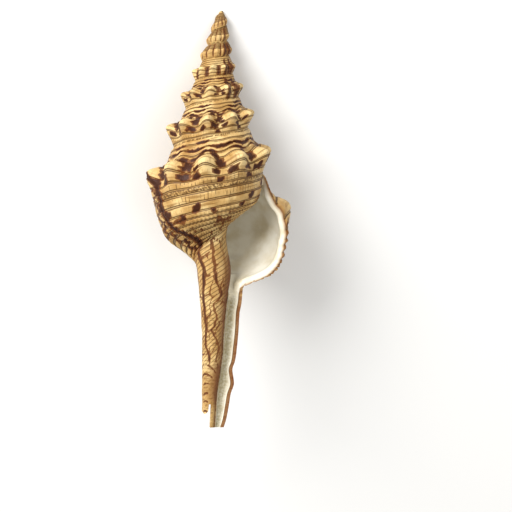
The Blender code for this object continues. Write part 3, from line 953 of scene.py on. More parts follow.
@dataclass
class Shell:
    """The whole shell, grown in one piece."""

    name: str = "murex_shell"
    columns: int = 296
    early_turns: float = 3.5
    neck_rows: int = 20
    canal_columns: int = 148
    canal_rows: int = 84
    whorl_radius: Keys = ((0.0, 0.605), (0.055, 0.645), (0.27, 0.715), (0.43, 0.79), (0.5, 0.845),
                          (0.61, 0.88), (0.78, 0.88), (1.0, 0.859))
    fullness: float = 0.06
    base_reach: float = 1.32
    canal_begins: float = 0.72
    knob_tail: float = 1.65
    base_radius_keys: Keys = ((0.0, 0.859), (0.16, 0.850), (0.35, 0.815), (0.48, 0.765), (0.57, 0.69),
                              (0.64, 0.58), (0.72, 0.47), (0.82, 0.38), (0.92, 0.31), (1.0, 0.275))
    lip_reach: float = 1.03
    lip_radius_keys: Keys = ((0.0, 0.91), (0.30, 0.875), (0.48, 0.83), (0.64, 0.755), (0.76, 0.66),
                             (0.85, 0.54), (0.93, 0.41), (1.0, 0.33))
    wall: float = 1.4
    hollow_turns: float = 1.05
    hollow_bottom: float = 0.80
    hollow_step: float = 1 / 26
    corner_inset: float = 0.3
    corner_drop: float = 1.6
    clear: float = 0.25
    lip_scallop: float = 0.6
    glaze: float = 0.1
    mouth_steps: tuple[tuple[float, float, float], ...] = (
        (-0.0016, 0.28, -0.02), (-0.0030, 0.75, -0.09), (-0.0030, 1.35, -0.12), (-0.0010, 1.95, -0.07),
        (0.0040, 2.25, 0.0), (0.011, 2.2, 0.2), (0.021, 2.0, 0.42), (0.034, 1.8, 0.66), (0.052, 1.6, 0.86),
        (0.075, 1.5, 1.0))
    fullness_fade: float = 0.4
    fullness_fall: float = 2.5
    lip_turns: float = 0.3
    base_points: int = 97
    whorl_points: int = 60
    hollow_points: int = 90
    inner_points: int = 80
    edge_blend: float = 0.12
    neck_girth: float = 0.5
    sculpted: Window = Window(end=2.0, fade_out=0.12)
    scallop_turns: float = 0.022
    scalloped: Window = Window(0.25, 0.2)
    scallop_rows: int = 6
    scallop_steps: int = 5
    rust_steps: int = 4
    pulled_rows: int = 16
    # Of these pairs, the pillar's side comes first and the lip's side second.
    lining_steps: tuple[float, float] = (1.5, 4.0)
    # Where painted shade sets in along the steps into the groove: sooner on the pillar's side, later on
    # the lip's side, which stays light.
    shaded: tuple[Window, Window] = (Window(4.5, 1.5), Window(6.0, 3.5))
    shade_neck: float = 4.0
    lining_map: tuple[float, float] = (10.0, 3.0)
    lining_rows: float = 80.0
    canal_cord: float = 1.5
    seam: float = 0.002
    lean: float = 2.4
    lean_depth: float = 35.0
    lean_shift: float = -0.3
    lean_end: float = 60.0
    tip_drop: float = 0.4
    tip_reach: float = 3.0
    sharp_angle: float = 70.0
    rest_roll: float = -11.8
    rest_tip: float = -21.65
    rest_shift: tuple[float, float, float] = (-1.43, 58.35, -0.14)
    growth: Growth = field(default_factory=Growth)
    canal: Canal = field(default_factory=Canal)
    canal_skin: CanalSkin = field(default_factory=CanalSkin)

    def __post_init__(self) -> None:
        """Give the shell its sculpture and its resting turn."""
        self.sculpture = Sculpture(self.growth)
        self.whorl_levels = np.array(self.sculpture.rows_between(0.0, 1.0))
        if len(self.whorl_levels) % 2 == 0:
            self.whorl_levels = np.insert(self.whorl_levels, -1, self.whorl_levels[-2:].mean())
        self.base_levels = np.array(self.sculpture.rows_between(1.0, 2.0))
        self.whorl_rows = len(self.whorl_levels) - 1
        self.base_rows = len(self.base_levels) - 1 + self.neck_rows
        roll = Matrix.Rotation(math.radians(self.rest_roll), 4, "Y")
        self.turn = Matrix.Rotation(math.radians(self.rest_tip), 4, "X") @ roll
        self.placing = Matrix.Translation(Vector(self.rest_shift) * MM) @ self.turn

    def swelling(self, t: Array, p: Array) -> Array:
        """Extra fullness of the last turn below its shoulder."""
        late = rise(t, self.growth.turns - 1, self.fullness_fade)
        return self.fullness * late * rise(p, self.sculpture.shoulder, 1 - self.sculpture.shoulder)

    def whorl_profile(self, t: Array, p: Array, knobs: bool = True) -> tuple[Array, Array]:
        """Radius and depth across a whorl.

        Args:
            t: Turns from the tip.
            p: Place from the upper suture at 0 to the lower at 1.
            knobs: Whether the knobs stand on it.

        Returns:
            Radius and depth in millimetres.
        """
        law, half = self.growth, self.sculpture.shoulder
        upper, middle, lower = law.suture(t), law.shoulder(t), law.suture(t + 1)
        above = upper + (middle - upper) * p / half
        below = middle + (lower - middle) * (p - half) / (1 - half)
        depth = np.where(p < half, above, below)
        start, full = law.rounding(t - 1), law.rounding(t)
        drawn_in = np.where(p < half, start + (full - start) * p / half, full)
        share = curve_through(self.whorl_radius, p) + self.swelling(t, p)
        if knobs:
            stand = self.sculpture.stand(t, p)
            share = share + stand
            depth = depth - self.sculpture.knob_lift * law.radius(t) * stand / self.sculpture.knob_height
        return share * law.radius(t) * drawn_in, depth

    def lip_share(self, t: Array) -> Array:
        """How far the last turn has taken on the shape of the lip."""
        return rise(t, self.growth.turns - self.lip_turns, self.lip_turns)

    def base_end(self, t: Array) -> Array:
        """Depth where the base has narrowed to the canal."""
        reach = self.base_reach + (self.lip_reach - self.base_reach) * self.lip_share(t)
        return self.growth.full_depth(t) + reach * self.growth.radius(t)

    def base_radius(self, t: Array, u: Array) -> Array:
        """Radius of the base from its start at u = 0 to its end at u = 1."""
        share = curve_through(self.base_radius_keys, u)
        share = share + self.swelling(t, 1.0) * np.maximum(1 - self.fullness_fall * u, 0.0)
        lip = curve_through(self.lip_radius_keys, u)
        return (share + (lip - share) * self.lip_share(t)) * self.growth.radius(t)

    def canal_share(self, u: Array) -> Array:
        """How far the base has passed over into the canal."""
        return rise(u, self.canal_begins, 1 - self.canal_begins)

    def leaned(self, places: Array) -> Array:
        """Lean the spire to the right, its whorls square to the leaning axis.

        Args:
            places: Places with the axis straight, coordinates last.

        Returns:
            Places on the leaning shell.
        """
        x, y, depth = places[..., 0], places[..., 1], places[..., 2]
        rest = np.clip(1 - np.maximum(depth, 0.0) / self.lean_depth, 0.0, 1.0)
        settled = 1 - rise(depth, self.lean_depth, self.lean_end - self.lean_depth)
        shift = self.lean * rest * rest + self.lean_shift * settled
        angle = np.arctan(2 * self.lean / self.lean_depth * rest)
        drop = self.tip_drop * (1 - ease(depth / self.tip_reach))
        return np.stack([x * np.cos(angle) + shift, y, depth + drop + x * np.sin(angle)], -1)

    def round_places(self, t: Array, radius: Array, depth: Array) -> Array:
        """Places at a radius and depth, at the angle of t."""
        angle = self.growth.angle(t) + 0 * radius
        return np.stack([radius * np.cos(angle), radius * np.sin(angle), depth], -1)

    def whorl_places(self, t: Array, p: Array) -> Array:
        """Places across the whorls, each growing from the lower edge of the turn before.

        Args:
            t: Turns from the tip.
            p: Place from the upper suture at 0 to the lower at 1.

        Returns:
            Places, coordinates last.
        """
        radius, depth = self.whorl_profile(t, p)
        edge_radius, edge_depth = self.whorl_profile(t - 1, 1 + 0 * p)
        grown_on = (p == 0) & (t >= 1)
        radius = np.where(grown_on, edge_radius, radius)
        depth = np.where(grown_on, edge_depth, depth)
        return self.round_places(t, radius, depth)

    def near_lip(self, t: Array, girth: Array) -> Array:
        """Scallops that the cords raise along the lip's edge, in millimetres."""
        close = ease(1 - (self.growth.turns - t) / self.scallop_turns)
        return close * self.lip_scallop * self.scallop(girth)

    def scallop(self, girth: Array) -> Array:
        """Scalloped outline of the lip, one lobe to each cord."""
        wave = 0.5 - 0.5 * np.cos(TAU * self.sculpture.cord_beat(girth))
        return (wave - 0.5) * self.scalloped.at(girth)

    def outside_marks(self, t: Array, girth: Array) -> dict[Mark, Array]:
        """Relief and markings of the whorls and the base.

        Args:
            t: Turns from the tip.
            girth: 0 to 1 across a whorl, 1 to 2 over the base.

        Returns:
            The marks at each place.
        """
        law = self.sculpture
        ticked = np.maximum.reduce([window.at(girth) for window in law.ticked])
        old = fall(law.past_old_lip(t, girth), 0.0, law.ticks_fade)
        across = law.sagged(t, np.minimum(girth, 1.0)) + np.maximum(girth - 1, 0)
        return {
            Mark.RELIEF: law.relief(t, girth) + self.near_lip(t, girth),
            Mark.FURROW: law.from_furrow(girth),
            Mark.STAIN_AND_SHADE: law.stain(t, girth),
            Mark.PALE: law.stand(t, across) / law.knob_height,
            Mark.STIPPLE: law.stippled.at(girth) * law.stippled_turns.at(t),
            Mark.TICK: ticked * law.ticked_turns.at(t) * old,
        }

    def whorl_sheet(self, name: str, start: float, end: float, levels: Array) -> Sheet:
        """Strip of whorls between two turns.

        Args:
            name: Name of the sheet.
            start: First turn.
            end: Last turn.
            levels: Girths of the rows across the strip.

        Returns:
            The sheet.
        """
        count = round((end - start) * self.columns)
        t = np.linspace(start, end, count + 1)[:, None] + np.zeros((1, len(levels)))
        p = levels[None, :] + 0 * t
        growth_map = np.stack([t, self.sculpture.cord_beat(p)], -1)
        places = self.whorl_places(t, self.sculpture.sagged(t, p))
        return Sheet(name, self.leaned(places), growth_map, self.outside_marks(t, p))

    def base_line(self, t: float) -> Array:
        """Points down the base at t, each with its girth behind its coordinates."""
        law = self.growth
        u = np.linspace(0, 1, self.base_points)
        start, end = law.suture(t + 1), self.base_end(t)
        depth = start + (end - start) * u
        column = t + 0 * u
        stand = self.sculpture.stand(column, 1 + self.knob_tail * u)
        lift = self.sculpture.knob_lift * law.radius(t) * stand / self.sculpture.knob_height
        radius = self.base_radius(column, u) + stand * law.radius(t)
        edge, _ = self.whorl_profile(np.array(t), np.array(1.0))
        radius = radius + (edge - radius[0]) * (1 - ease(u / self.edge_blend))
        around = self.round_places(column, radius, depth - lift)
        x, y = self.canal.outside(column, depth, law)
        share = self.canal_share(u)[:, None]
        across = around[:, :2] * (1 - share) + np.stack([x, y], 1) * share
        line = np.column_stack([across, around[:, 2]])
        upper = np.stack([np.interp(self.base_levels - 1, u, axis) for axis in line.T], 1)
        below = np.linspace(end, self.canal.neck, self.neck_rows + 1)[1:]
        x, y = self.canal.outside(t + 0 * below, below, law)
        return np.vstack([upper, np.stack([x, y, below], 1)])

    def canal_line(self, t: float) -> Array:
        """Points down the canal at t, from the neck to its end."""
        end = self.canal.end_depth(t, self.growth)
        depth = np.linspace(self.canal.neck, end, self.canal_rows + 1)
        x, y = self.canal.outside(t + 0 * depth, depth, self.growth)
        return np.stack([x, y, depth], 1)

    def base_sheet(self) -> Sheet:
        """The last turn's base, down to the neck."""
        last = self.growth.turns
        turns = np.linspace(last - 1, last, self.columns + 1)
        lines = np.array([self.base_line(t) for t in turns])
        neck = 2 + self.neck_girth * np.arange(1, self.neck_rows + 1) / self.neck_rows
        girth = np.concatenate([self.base_levels, neck])[None, :] + np.zeros((len(turns), 1))
        t = turns[:, None] + 0 * girth
        base, low = self.outside_marks(t, girth), self.canal_skin.marks(t, lines[..., 2])
        sculpted = self.sculpted.at(girth)
        marks = {}
        for mark in Mark:
            upper_value, lower_value = base.get(mark, 0 * t), low.get(mark, 0 * t)
            marks[mark] = upper_value * sculpted + lower_value * (1 - sculpted)
        marks[Mark.SLANT] = low[Mark.SLANT]
        growth_map = np.stack([t, self.sculpture.cord_beat(girth)], -1)
        return Sheet("base", self.leaned(lines), growth_map, marks)

    def canal_sheet(self) -> Sheet:
        """The canal's outside, from the neck to its end."""
        last = self.growth.turns
        turns = np.linspace(last - 1, last, self.canal_columns + 1)
        lines = np.array([self.canal_line(t) for t in turns])
        t = turns[:, None] + np.zeros((1, self.canal_rows + 1))
        depth = lines[..., 2]
        cords = len(self.sculpture.furrows) + (depth - self.canal.neck) / self.canal_cord
        growth_map = np.stack([t, cords], -1)
        return Sheet("canal", self.leaned(lines), growth_map, self.canal_skin.marks(t, depth))

    def parietal_radius(self, t: float, depth: Array) -> Array:
        """Radius of the turn that the hollow winds round, down along its columella."""
        law = self.growth
        start = law.suture(t + 1)
        u = (depth - start) / (self.base_end(t) - start)
        middle, half = law.shoulder(t), self.sculpture.shoulder
        p = half + (1 - half) * (depth - middle) / (start - middle)
        side, _ = self.whorl_profile(t + 0 * depth, np.clip(p, half, 1.0), knobs=False)
        mouth_turn = law.turns - 1
        scale = law.radius(t) / law.radius(mouth_turn)
        mouth_depth = law.full_depth(mouth_turn) + (depth - law.full_depth(t)) / scale
        columella = scale * curve_through(self.canal.pillar, mouth_depth)
        share = self.canal_share(u)
        below = self.base_radius(t, np.clip(u, 0.0, 1.0)) * (1 - share) + columella * share
        return np.where(u <= 0, side, below)

    def hollow_section(self, t: float, wall: float, shares: tuple[Array, Array],
                       feet: tuple | None = None) -> tuple[Array, Array]:
        """Outer and inner side of the hollow at t, as places.

        Args:
            t: Turns from the tip.
            wall: Thickness of the wall there.
            shares: Where the rows lie along the outer and the inner side.
            feet: Ends of the two sides at the canal's groove, as radius and depth, or None
                where the sides meet in the hollow's round bottom.

        Returns:
            Places down the outer side and down the inner side.
        """
        law = self.growth
        start = law.suture(t + 1)
        reach = self.base_end(t) - start
        p = np.linspace(0, 1, self.whorl_points)
        u = np.linspace(0, 1, self.hollow_points)[1:]
        whorl = np.stack(self.whorl_profile(t + 0 * p, p, knobs=False), 1)
        line = np.vstack([whorl, np.stack([self.base_radius(t, u), start + reach * u], 1)])
        along = np.gradient(line, axis=0)
        along /= np.linalg.norm(along, axis=1)[:, None]
        inset = line + wall * np.stack([-along[:, 1], along[:, 0]], 1)
        corner = line[0] + (self.corner_inset, self.corner_drop * wall)
        if feet is None:
            bottom = start + self.hollow_bottom * reach
            wide = inset[inset[:, 1] < bottom][-1, 0]
            lip_foot = np.array([(self.parietal_radius(t - 1, bottom) + wide) / 2, bottom])
            pillar_foot = lip_foot
        else:
            lip_foot, pillar_foot = feet
        keep = inset[:, 0] > max(corner[0], lip_foot[0]) + self.clear
        keep |= inset[:, 1] > corner[1] + 2 * wall
        keep &= (inset[:, 1] > line[0, 1] + self.clear) & (inset[:, 1] < lip_foot[1] - self.clear)
        keep &= inset[:, 0] > lip_foot[0] + self.clear
        outer = np.vstack([corner, inset[keep], lip_foot])
        depths = np.linspace(corner[1] + self.clear, pillar_foot[1] - self.clear, self.inner_points)
        inner = np.stack([self.parietal_radius(t - 1, depths) + self.glaze, depths], 1)
        inner = np.vstack([corner, inner, pillar_foot])
        sides = []
        for side, rows in zip((outer, inner), shares):
            places = self.round_places(t, side[:, 0], side[:, 1])
            sides.append(spaced(places, rows))
        return sides[0], sides[1]

    def hollow_sheets(self) -> list[Sheet]:
        """The mouth carried back into the shell, and the canal's groove."""
        last = self.growth.turns
        p = self.whorl_levels
        lip_base, pillar_base = self.base_line(last), self.base_line(last - 1)
        lip_canal, pillar_canal = self.canal_line(last), self.canal_line(last - 1)
        lip_whorl = self.whorl_places(last + 0 * p, self.sculpture.sagged(last + 0 * p, p))
        lip_line = np.vstack([lip_whorl, lip_base[1:], lip_canal[1:]])
        pillar_line = np.vstack([pillar_base, pillar_canal[1:]])
        outer_rows, inner_rows = self.whorl_rows + self.base_rows, self.base_rows
        shares = (shares_along(lip_line[:outer_rows + 1]), shares_along(pillar_base))
        lips, pillars = [lip_line], [pillar_line]
        for back, wall, share in self.mouth_steps:
            lip_side, pillar_side = self.canal.groove(lip_canal, pillar_canal, share)
            feet = tuple(np.array([math.hypot(x, y), d]) for x, y, d in (lip_side[0], pillar_side[0]))
            outer, inner = self.hollow_section(last - back, wall, shares, feet)
            outer = outer + self.pull(outer_rows)[:, None] * (lip_side[0] - outer[-1])
            inner = inner + self.pull(inner_rows)[:, None] * (pillar_side[0] - inner[-1])
            inner[0] = outer[0]
            lips.append(np.vstack([outer, lip_side[1:]]))
            pillars.append(np.vstack([inner, pillar_side[1:]]))
        front = [self.lining_sheet("lip_side", np.array(lips), True),
                 self.lining_sheet("pillar_side", np.array(pillars), False)]
        deep_lips, deep_pillars = [lips[-1][:outer_rows + 1]], [pillars[-1][:inner_rows + 1]]
        back = self.mouth_steps[-1][0]
        while back < self.hollow_turns:
            back += self.hollow_step
            outer, inner = self.hollow_section(last - back, self.wall, shares)
            inner[0], inner[-1] = outer[0], outer[-1]
            deep_lips.append(outer)
            deep_pillars.append(inner)
        middle = np.vstack([deep_lips[-1], deep_pillars[-1]]).mean(axis=0)
        deep_lips.append(middle + 0 * deep_lips[-1])
        deep_pillars.append(middle + 0 * deep_pillars[-1])
        deep = [self.lining_sheet("lip_depth", np.array(deep_lips), False, True),
                self.lining_sheet("pillar_depth", np.array(deep_pillars), False, True)]
        return front + deep

    def pull(self, rows: int) -> Array:
        """Share by which the last rows are drawn to the groove's end."""
        return rise(np.arange(rows + 1), rows - self.pulled_rows, self.pulled_rows)

    def lining_sheet(self, name: str, places: Array, lip: bool, deep: bool = False) -> Sheet:
        """Sheet of the porcelain lining.

        Args:
            name: Name of the sheet.
            places: Places by step into the mouth and row.
            lip: Whether its first steps go over the lip's rim.
            deep: Whether all of it lies inside.

        Returns:
            The sheet.
        """
        steps, rows = places.shape[0], places.shape[1]
        step = np.arange(steps)[:, None] + np.zeros((1, rows))
        row = np.arange(rows)[None, :] + np.zeros((steps, 1), int)
        lining = np.ones((steps, rows)) if deep else ease(step / self.lining_steps[lip])
        marks = {Mark.LINING: lining, Mark.FURROW: 1 + 0 * lining}
        if lip:
            canal_girth = np.full(rows, 2 + self.neck_girth)
            girth = np.concatenate([self.whorl_levels, self.base_levels[1:], canal_girth])[row]
            neck_row = self.whorl_rows + self.base_rows - self.neck_rows
            scallops = self.scallop(girth) * fall(row, neck_row, self.scallop_rows)
            marks[Mark.RELIEF] = self.lip_scallop * scallops * ease(1 - step / self.scallop_steps)
            marks[Mark.RUST_AND_SHADE] = ease(1 - step / self.rust_steps)
        if not deep:
            # Painted shade that deepens into the canal's groove.
            in_groove = rise(places[..., 2], self.canal.neck - 1.0, self.shade_neck)
            marks[Mark.SHADE] = in_groove * self.shaded[lip].at(step)
        across, down = self.lining_map
        lining_map = np.stack([step / across, self.lining_rows + row / down], -1)
        return Sheet(name, self.leaned(places), lining_map, marks)

    def sew(self, sheets: list[bpy.types.Object]) -> bpy.types.Object:
        """Join the sheets into one closed skin.

        Args:
            sheets: The bent grids.

        Returns:
            The joined object.
        """
        bpy.ops.object.select_all(action="DESELECT")
        for sheet in sheets:
            sheet.select_set(True)
        bpy.context.view_layer.objects.active = sheets[0]
        bpy.ops.object.join()
        item = bpy.context.object
        bpy.ops.object.mode_set(mode="EDIT")
        bpy.ops.mesh.select_all(action="SELECT")
        bpy.ops.mesh.remove_doubles(threshold=self.seam * MM)
        bpy.ops.object.mode_set(mode="OBJECT")
        self.close_gaps(item.data)
        bpy.ops.object.mode_set(mode="EDIT")
        bpy.ops.mesh.select_all(action="SELECT")
        bpy.ops.mesh.normals_make_consistent(inside=False)
        bpy.ops.object.mode_set(mode="OBJECT")
        return item

    def close_canal(self, mesh: bmesh.types.BMesh) -> None:
        """Cut the canal's end square: the old tip, the notch beside it and the new tip.

        Args:
            mesh: The shell, open only at the canal's end.
        """
        edge = next(edge for edge in mesh.edges if edge.is_boundary)
        loop = [edge.verts[0], edge.verts[1]]
        while True:
            onward = [other for other in loop[-1].link_edges if other.is_boundary and other is not edge]
            edge = onward[0]
            vert = edge.other_vert(loop[-1])
            if vert is loop[0]:
                break
            loop.append(vert)
        lengths = [-vert.co.y / MM for vert in loop]
        limits = ((self.canal.notch + self.canal.old_tip) / 2, (self.canal.old_tip + self.canal.end) / 2)
        parts = [int(length > limits[0]) + int(length > limits[1]) for length in lengths]
        first = next(i for i, part in enumerate(parts) if part == 1 and parts[i - 1] != 1)
        loop = loop[first:] + loop[:first]
        parts = parts[first:] + parts[:first]
        runs, last = [], None
        for vert, part in zip(loop, parts):
            if part != last:
                runs.append([])
            runs[-1].append(vert)
            last = part
        old_tip, notch_start, new_tip, notch_end = runs
        mesh.faces.new(old_tip)
        mesh.faces.new(notch_start + notch_end)
        mesh.faces.new(new_tip)
        mesh.faces.new((old_tip[-1], notch_start[0], notch_end[-1], old_tip[0]))
        mesh.faces.new((notch_start[-1], new_tip[0], new_tip[-1], notch_end[0]))

    def close_gaps(self, data: bpy.types.Mesh) -> None:
        """Fill the thin triangles where a coarse sheet meets a fine one, and the canal's end.

        Args:
            data: Mesh of the joined sheets.
        """
        mesh = bmesh.new()
        mesh.from_mesh(data)
        layer = mesh.loops.layers.uv.active
        for edge in [edge for edge in mesh.edges if edge.is_boundary]:
            if not edge.is_boundary:
                continue
            near, far = edge.verts
            for side in list(near.link_edges):
                between = side.other_vert(near)
                closing = mesh.edges.get((between, far)) if side is not edge else None
                if closing and closing.is_boundary and side.is_boundary:
                    known = {corner.vert: corner[layer].uv.copy() for vert in (near, between, far)
                             for corner in vert.link_loops}
                    face = mesh.faces.new((near, between, far))
                    for corner in face.loops:
                        corner[layer].uv = known[corner.vert]
                    break
        self.close_canal(mesh)
        mesh.to_mesh(data)
        mesh.free()

    def raise_relief(self, data: bpy.types.Mesh) -> None:
        """Move each point out along its normal by its relief.

        Args:
            data: The shell's mesh.
        """
        relief = read(data.attributes[Mark.RELIEF.value].data, "value")
        moved = read(data.vertices, "co", 3) + read(data.vertex_normals, "vector", 3) * relief * MM
        data.vertices.foreach_set("co", moved.ravel())
        data.update()

    def lay_down(self, data: bpy.types.Mesh) -> None:
        """Turn the shell to its resting place, its lowest knobs and its tip worn flat.

        Args:
            data: The shell's mesh.
        """
        data.transform(self.placing)
        places = read(data.vertices, "co", 3)
        places[:, 2] = np.maximum(places[:, 2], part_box("shell")[0][2])
        data.vertices.foreach_set("co", places.ravel())
        data.update()

    def place(self, x: float, y: float, depth: float) -> Vector:
        """World place of a point given in the shell's own frame."""
        return self.placing @ Vector((x * MM, -depth * MM, -y * MM))

    def build(self) -> bpy.types.Object:
        """Build the shell.

        Returns:
            The finished piece.
        """
        last = self.growth.turns
        sheets = [
            self.whorl_sheet("first_whorls", 0.0, self.early_turns, self.whorl_levels[::2]),
            self.whorl_sheet("last_whorls", self.early_turns, last, self.whorl_levels),
            self.base_sheet(),
            self.canal_sheet(),
            *self.hollow_sheets(),
        ]
        item = self.sew([sheet.make() for sheet in sheets])
        item.name = self.name
        item.data.name = self.name
        self.raise_relief(item.data)
        self.lay_down(item.data)
        bpy.ops.object.shade_smooth_by_angle(angle=math.radians(self.sharp_angle))
        return item


def linear(hex_colour: str) -> tuple[float, float, float, float]:
    """Turn an sRGB hex colour to linear.

    Args:
        hex_colour: Colour such as #E0BD76.

    Returns:
        Linear red, green and blue, with full opacity.
    """
    parts = [int(hex_colour[i:i + 2], 16) / 255 for i in (1, 3, 5)]
    red, green, blue = (c / 12.92 if c <= 0.04045 else ((c + 0.055) / 1.055) ** 2.4 for c in parts)
    return red, green, blue, 1.0


def add_node(tree: bpy.types.NodeTree, kind: str, inputs: dict | tuple = (), output: int | str = 0,
             **settings: str) -> Socket | None:
    """Add a node with its settings and links.

    Args:
        tree: Node tree to add to.
        kind: Blender's name for the node, after ShaderNode.
        inputs: Values, or sockets to link, by input name or number or else in order.
        output: Output that is used.
        settings: The node's own settings.

    Returns:
        The output, or None from a node that has none.
    """
    node = tree.nodes.new("ShaderNode" + kind)
    for name, value in settings.items():
        setattr(node, name, value)
    for name, value in inputs.items() if isinstance(inputs, dict) else enumerate(inputs):
        if isinstance(value, Socket):
            tree.links.new(value, node.inputs[name])
        else:
            node.inputs[name].default_value = value
    return node.outputs[output] if node.outputs else None


@dataclass(frozen=True)
class Coat:
    """A colour laid over those before it, where a pattern passes from one limit to another."""

    colour: str
    pattern: str
    most: float
    low: float = 0.0
    high: float = 1.0


@dataclass(frozen=True)
class ShellMatter:
    """Aragonite shell: a matt, ribbed outer layer over a smooth porcelain lining.

    The outer layer scatters light softly and has a dull gloss. The lining is dense and
    polished by the animal, so it catches clear highlights. Sizes are in millimetres. The
    grain is far finer on a real shell, and is drawn as coarse as it needs to show.
    """

    tan: str = "#D2AE70"
    deep_tan: str = "#AD8449"
    cream: str = "#E6CE96"
    furrow: str = "#452706"
    fine_line: str = "#7C5522"
    stain: str = "#331000"
    stain_edge: str = "#643004"
    # Reddish brown of the lip's rim, also laid on as painted shadow along the canal's groove.
    rust: str = "#68320D"
    lining: str = "#F3EEDF"
    lining_shade: str = "#D9CDB0"
    # Grey-olive of the groove's inside, laid on more deeply as painted shade.
    groove: str = "#8D8260"
    roughness: float = 0.5
    lining_roughness: float = 0.22
    lining_edge: tuple[float, float] = (0.25, 0.85)
    ior: float = 1.53
    gloss: float = 0.2
    cloud_size: float = 6.25
    breakup_size: float = 10 / 7
    grain_size: float = 0.625
    lines_in_map: tuple[float, float, float] = (300.0, 1.6, 1.0)
    streaks_in_map: tuple[float, float, float] = (9.0, 2.6, 1.0)
    ticks_in_map: tuple[float, float, float] = (90.0, 1.0, 1.0)
    bump_height: float = 0.12
    bump_strength: float = 0.8
    outer_coats: tuple[Coat, ...] = (
        Coat(tan, "cloud", 1.0, 0.32, 0.60),
        Coat(cream, "cloud", 0.6, 0.50, 0.72),
        Coat(cream, "pale", 0.7, 0.45, 0.95),
        Coat(fine_line, "lines", 0.45, 0.57, 0.68),
        Coat(fine_line, "streaks", 0.65, 0.52, 0.62),
        Coat(fine_line, "rough_furrow", 0.4, 1.24, 1.0),
        Coat(furrow, "furrow_edges", 0.9),
        Coat(furrow, "slants", 0.7),
        Coat(furrow, "ticks", 0.75),
        Coat(furrow, "dots", 0.75),
        # The stain colours also carry the painted shade on the whorls' right side.
        Coat(stain_edge, "ragged_stain", 0.88, 0.78, 0.92),
        Coat(stain, "lined_stain", 0.92, 1.20, 1.50),
        # Lip colour, with the painted shadow along the canal's groove.
        Coat(rust, "rust", 0.85),
    )
    inner_coats: tuple[Coat, ...] = (
        Coat(lining, "cloud", 1.0, 0.3, 0.6),
        # Painted shade in the canal's groove.
        Coat(groove, "shade", 0.55),
        Coat(groove, "grained_shade", 0.8),
    )

    def patterns(self, add: Callable[..., Socket]) -> dict[str, Socket]:
        """Patterns by name, on the shell's marks, on its growth map and in its own space.

        Args:
            add: Adds a node to the material.

        Returns:
            The patterns, with the marks under their own names.
        """
        made = {mark.value: add("Attribute", output="Fac", attribute_name=mark.value) for mark in Mark}
        place = add("TexCoord", output="Object")
        growth = add("UVMap", uv_map="growth")
        for name, size, detail in (("cloud", self.cloud_size, 4.0), ("breakup", self.breakup_size, 3.0),
                                   ("grain", self.grain_size, 3.0)):
            made[name] = add("TexNoise", {"Vector": place, "Scale": 1 / (size * MM), "Detail": detail})
        for name, scale, detail, twist in (("lines", self.lines_in_map, 3.0, 0.0),
                                           ("streaks", self.streaks_in_map, 4.0, 0.6)):
            vector = add("Mapping", {"Vector": growth, "Scale": scale})
            settings = {"Scale": 1.0, "Detail": detail, "Distortion": twist}
            made[name] = add("TexNoise", {"Vector": vector, **settings})
        tick_map = add("Mapping", {"Vector": growth, "Scale": self.ticks_in_map})
        made["ticks_along"] = add("SeparateXYZ", (tick_map,))
        for name, source, share, ground in (("rough_furrow", "breakup", 0.45, "furrow"),
                                            ("ragged_stain", "breakup", 0.9, "stain"),
                                            ("lined_stain", "lines", 1.1, "stain")):
            made[name] = add("Math", (made[source], share, made[ground]), operation="MULTIPLY_ADD")
        for name, source in (("slant_beat", "slant"), ("tick_beat", "ticks_along")):
            made[name] = add("Math", (made[source], 0.5), operation="PINGPONG")
        for name, source, low, high in (("furrow_inner", "rough_furrow", 0.34, 0.62),
                                        ("furrow_outer", "rough_furrow", 1.16, 0.88),
                                        ("slant_lines", "slant_beat", 0.18, 0.07),
                                        ("tick_lines", "tick_beat", 0.16, 0.06),
                                        ("tick_breaks", "breakup", 0.46, 0.56),
                                        ("dot_grain", "grain", 0.44, 0.54),
                                        ("shade_grain", "grain", 0.30, 0.62)):
            made[name] = add("MapRange", (made[source], low, high))
        for name, first, second in (("furrow_edges", "furrow_inner", "furrow_outer"),
                                    ("slants", "slant_lines", "canal"),
                                    ("whole_ticks", "tick_lines", "tick"),
                                    ("ticks", "whole_ticks", "tick_breaks"),
                                    ("dots", "dot_grain", "stipple"),
                                    ("grained_shade", "shade_grain", "shade")):
            made[name] = add("Math", (made[first], made[second]), operation="MULTIPLY")
        return made

    def coated(self, add: Callable[..., Socket], ground: str, coats: tuple[Coat, ...],
               patterns: dict[str, Socket]) -> Socket:
        """Lay coats of colour over a ground.

        Args:
            add: Adds a node to the material.
            ground: Hex colour of the ground.
            coats: Coats from the lowest up.
            patterns: Patterns by name.

        Returns:
            The colour.
        """
        colour = linear(ground)
        for coat in coats:
            spread = add("MapRange", (patterns[coat.pattern], coat.low, coat.high))
            share = add("Math", (spread, coat.most), operation="MULTIPLY")
            colour = add("Mix", {0: share, 6: colour, 7: linear(coat.colour)}, 2, data_type="RGBA")
        return colour

    def height(self, add: Callable[..., Socket], patterns: dict[str, Socket], outside: Socket) -> Socket:
        """Height of the finest relief: the grain, the growth lines and the furrows' floors.

        Args:
            add: Adds a node to the material.
            patterns: Patterns by name.
            outside: Share from 0 on the lining to 1 on the outer layer.

        Returns:
            The height.
        """
        fine = add("Math", (patterns["grain"], 0.5, patterns["lines"]), operation="MULTIPLY_ADD")
        ridge = add("MapRange", (patterns["furrow"], 0.0, 0.8))
        carved = add("Math", (ridge, 1.2, fine), operation="MULTIPLY_ADD")
        return add("Math", (carved, outside), operation="MULTIPLY")

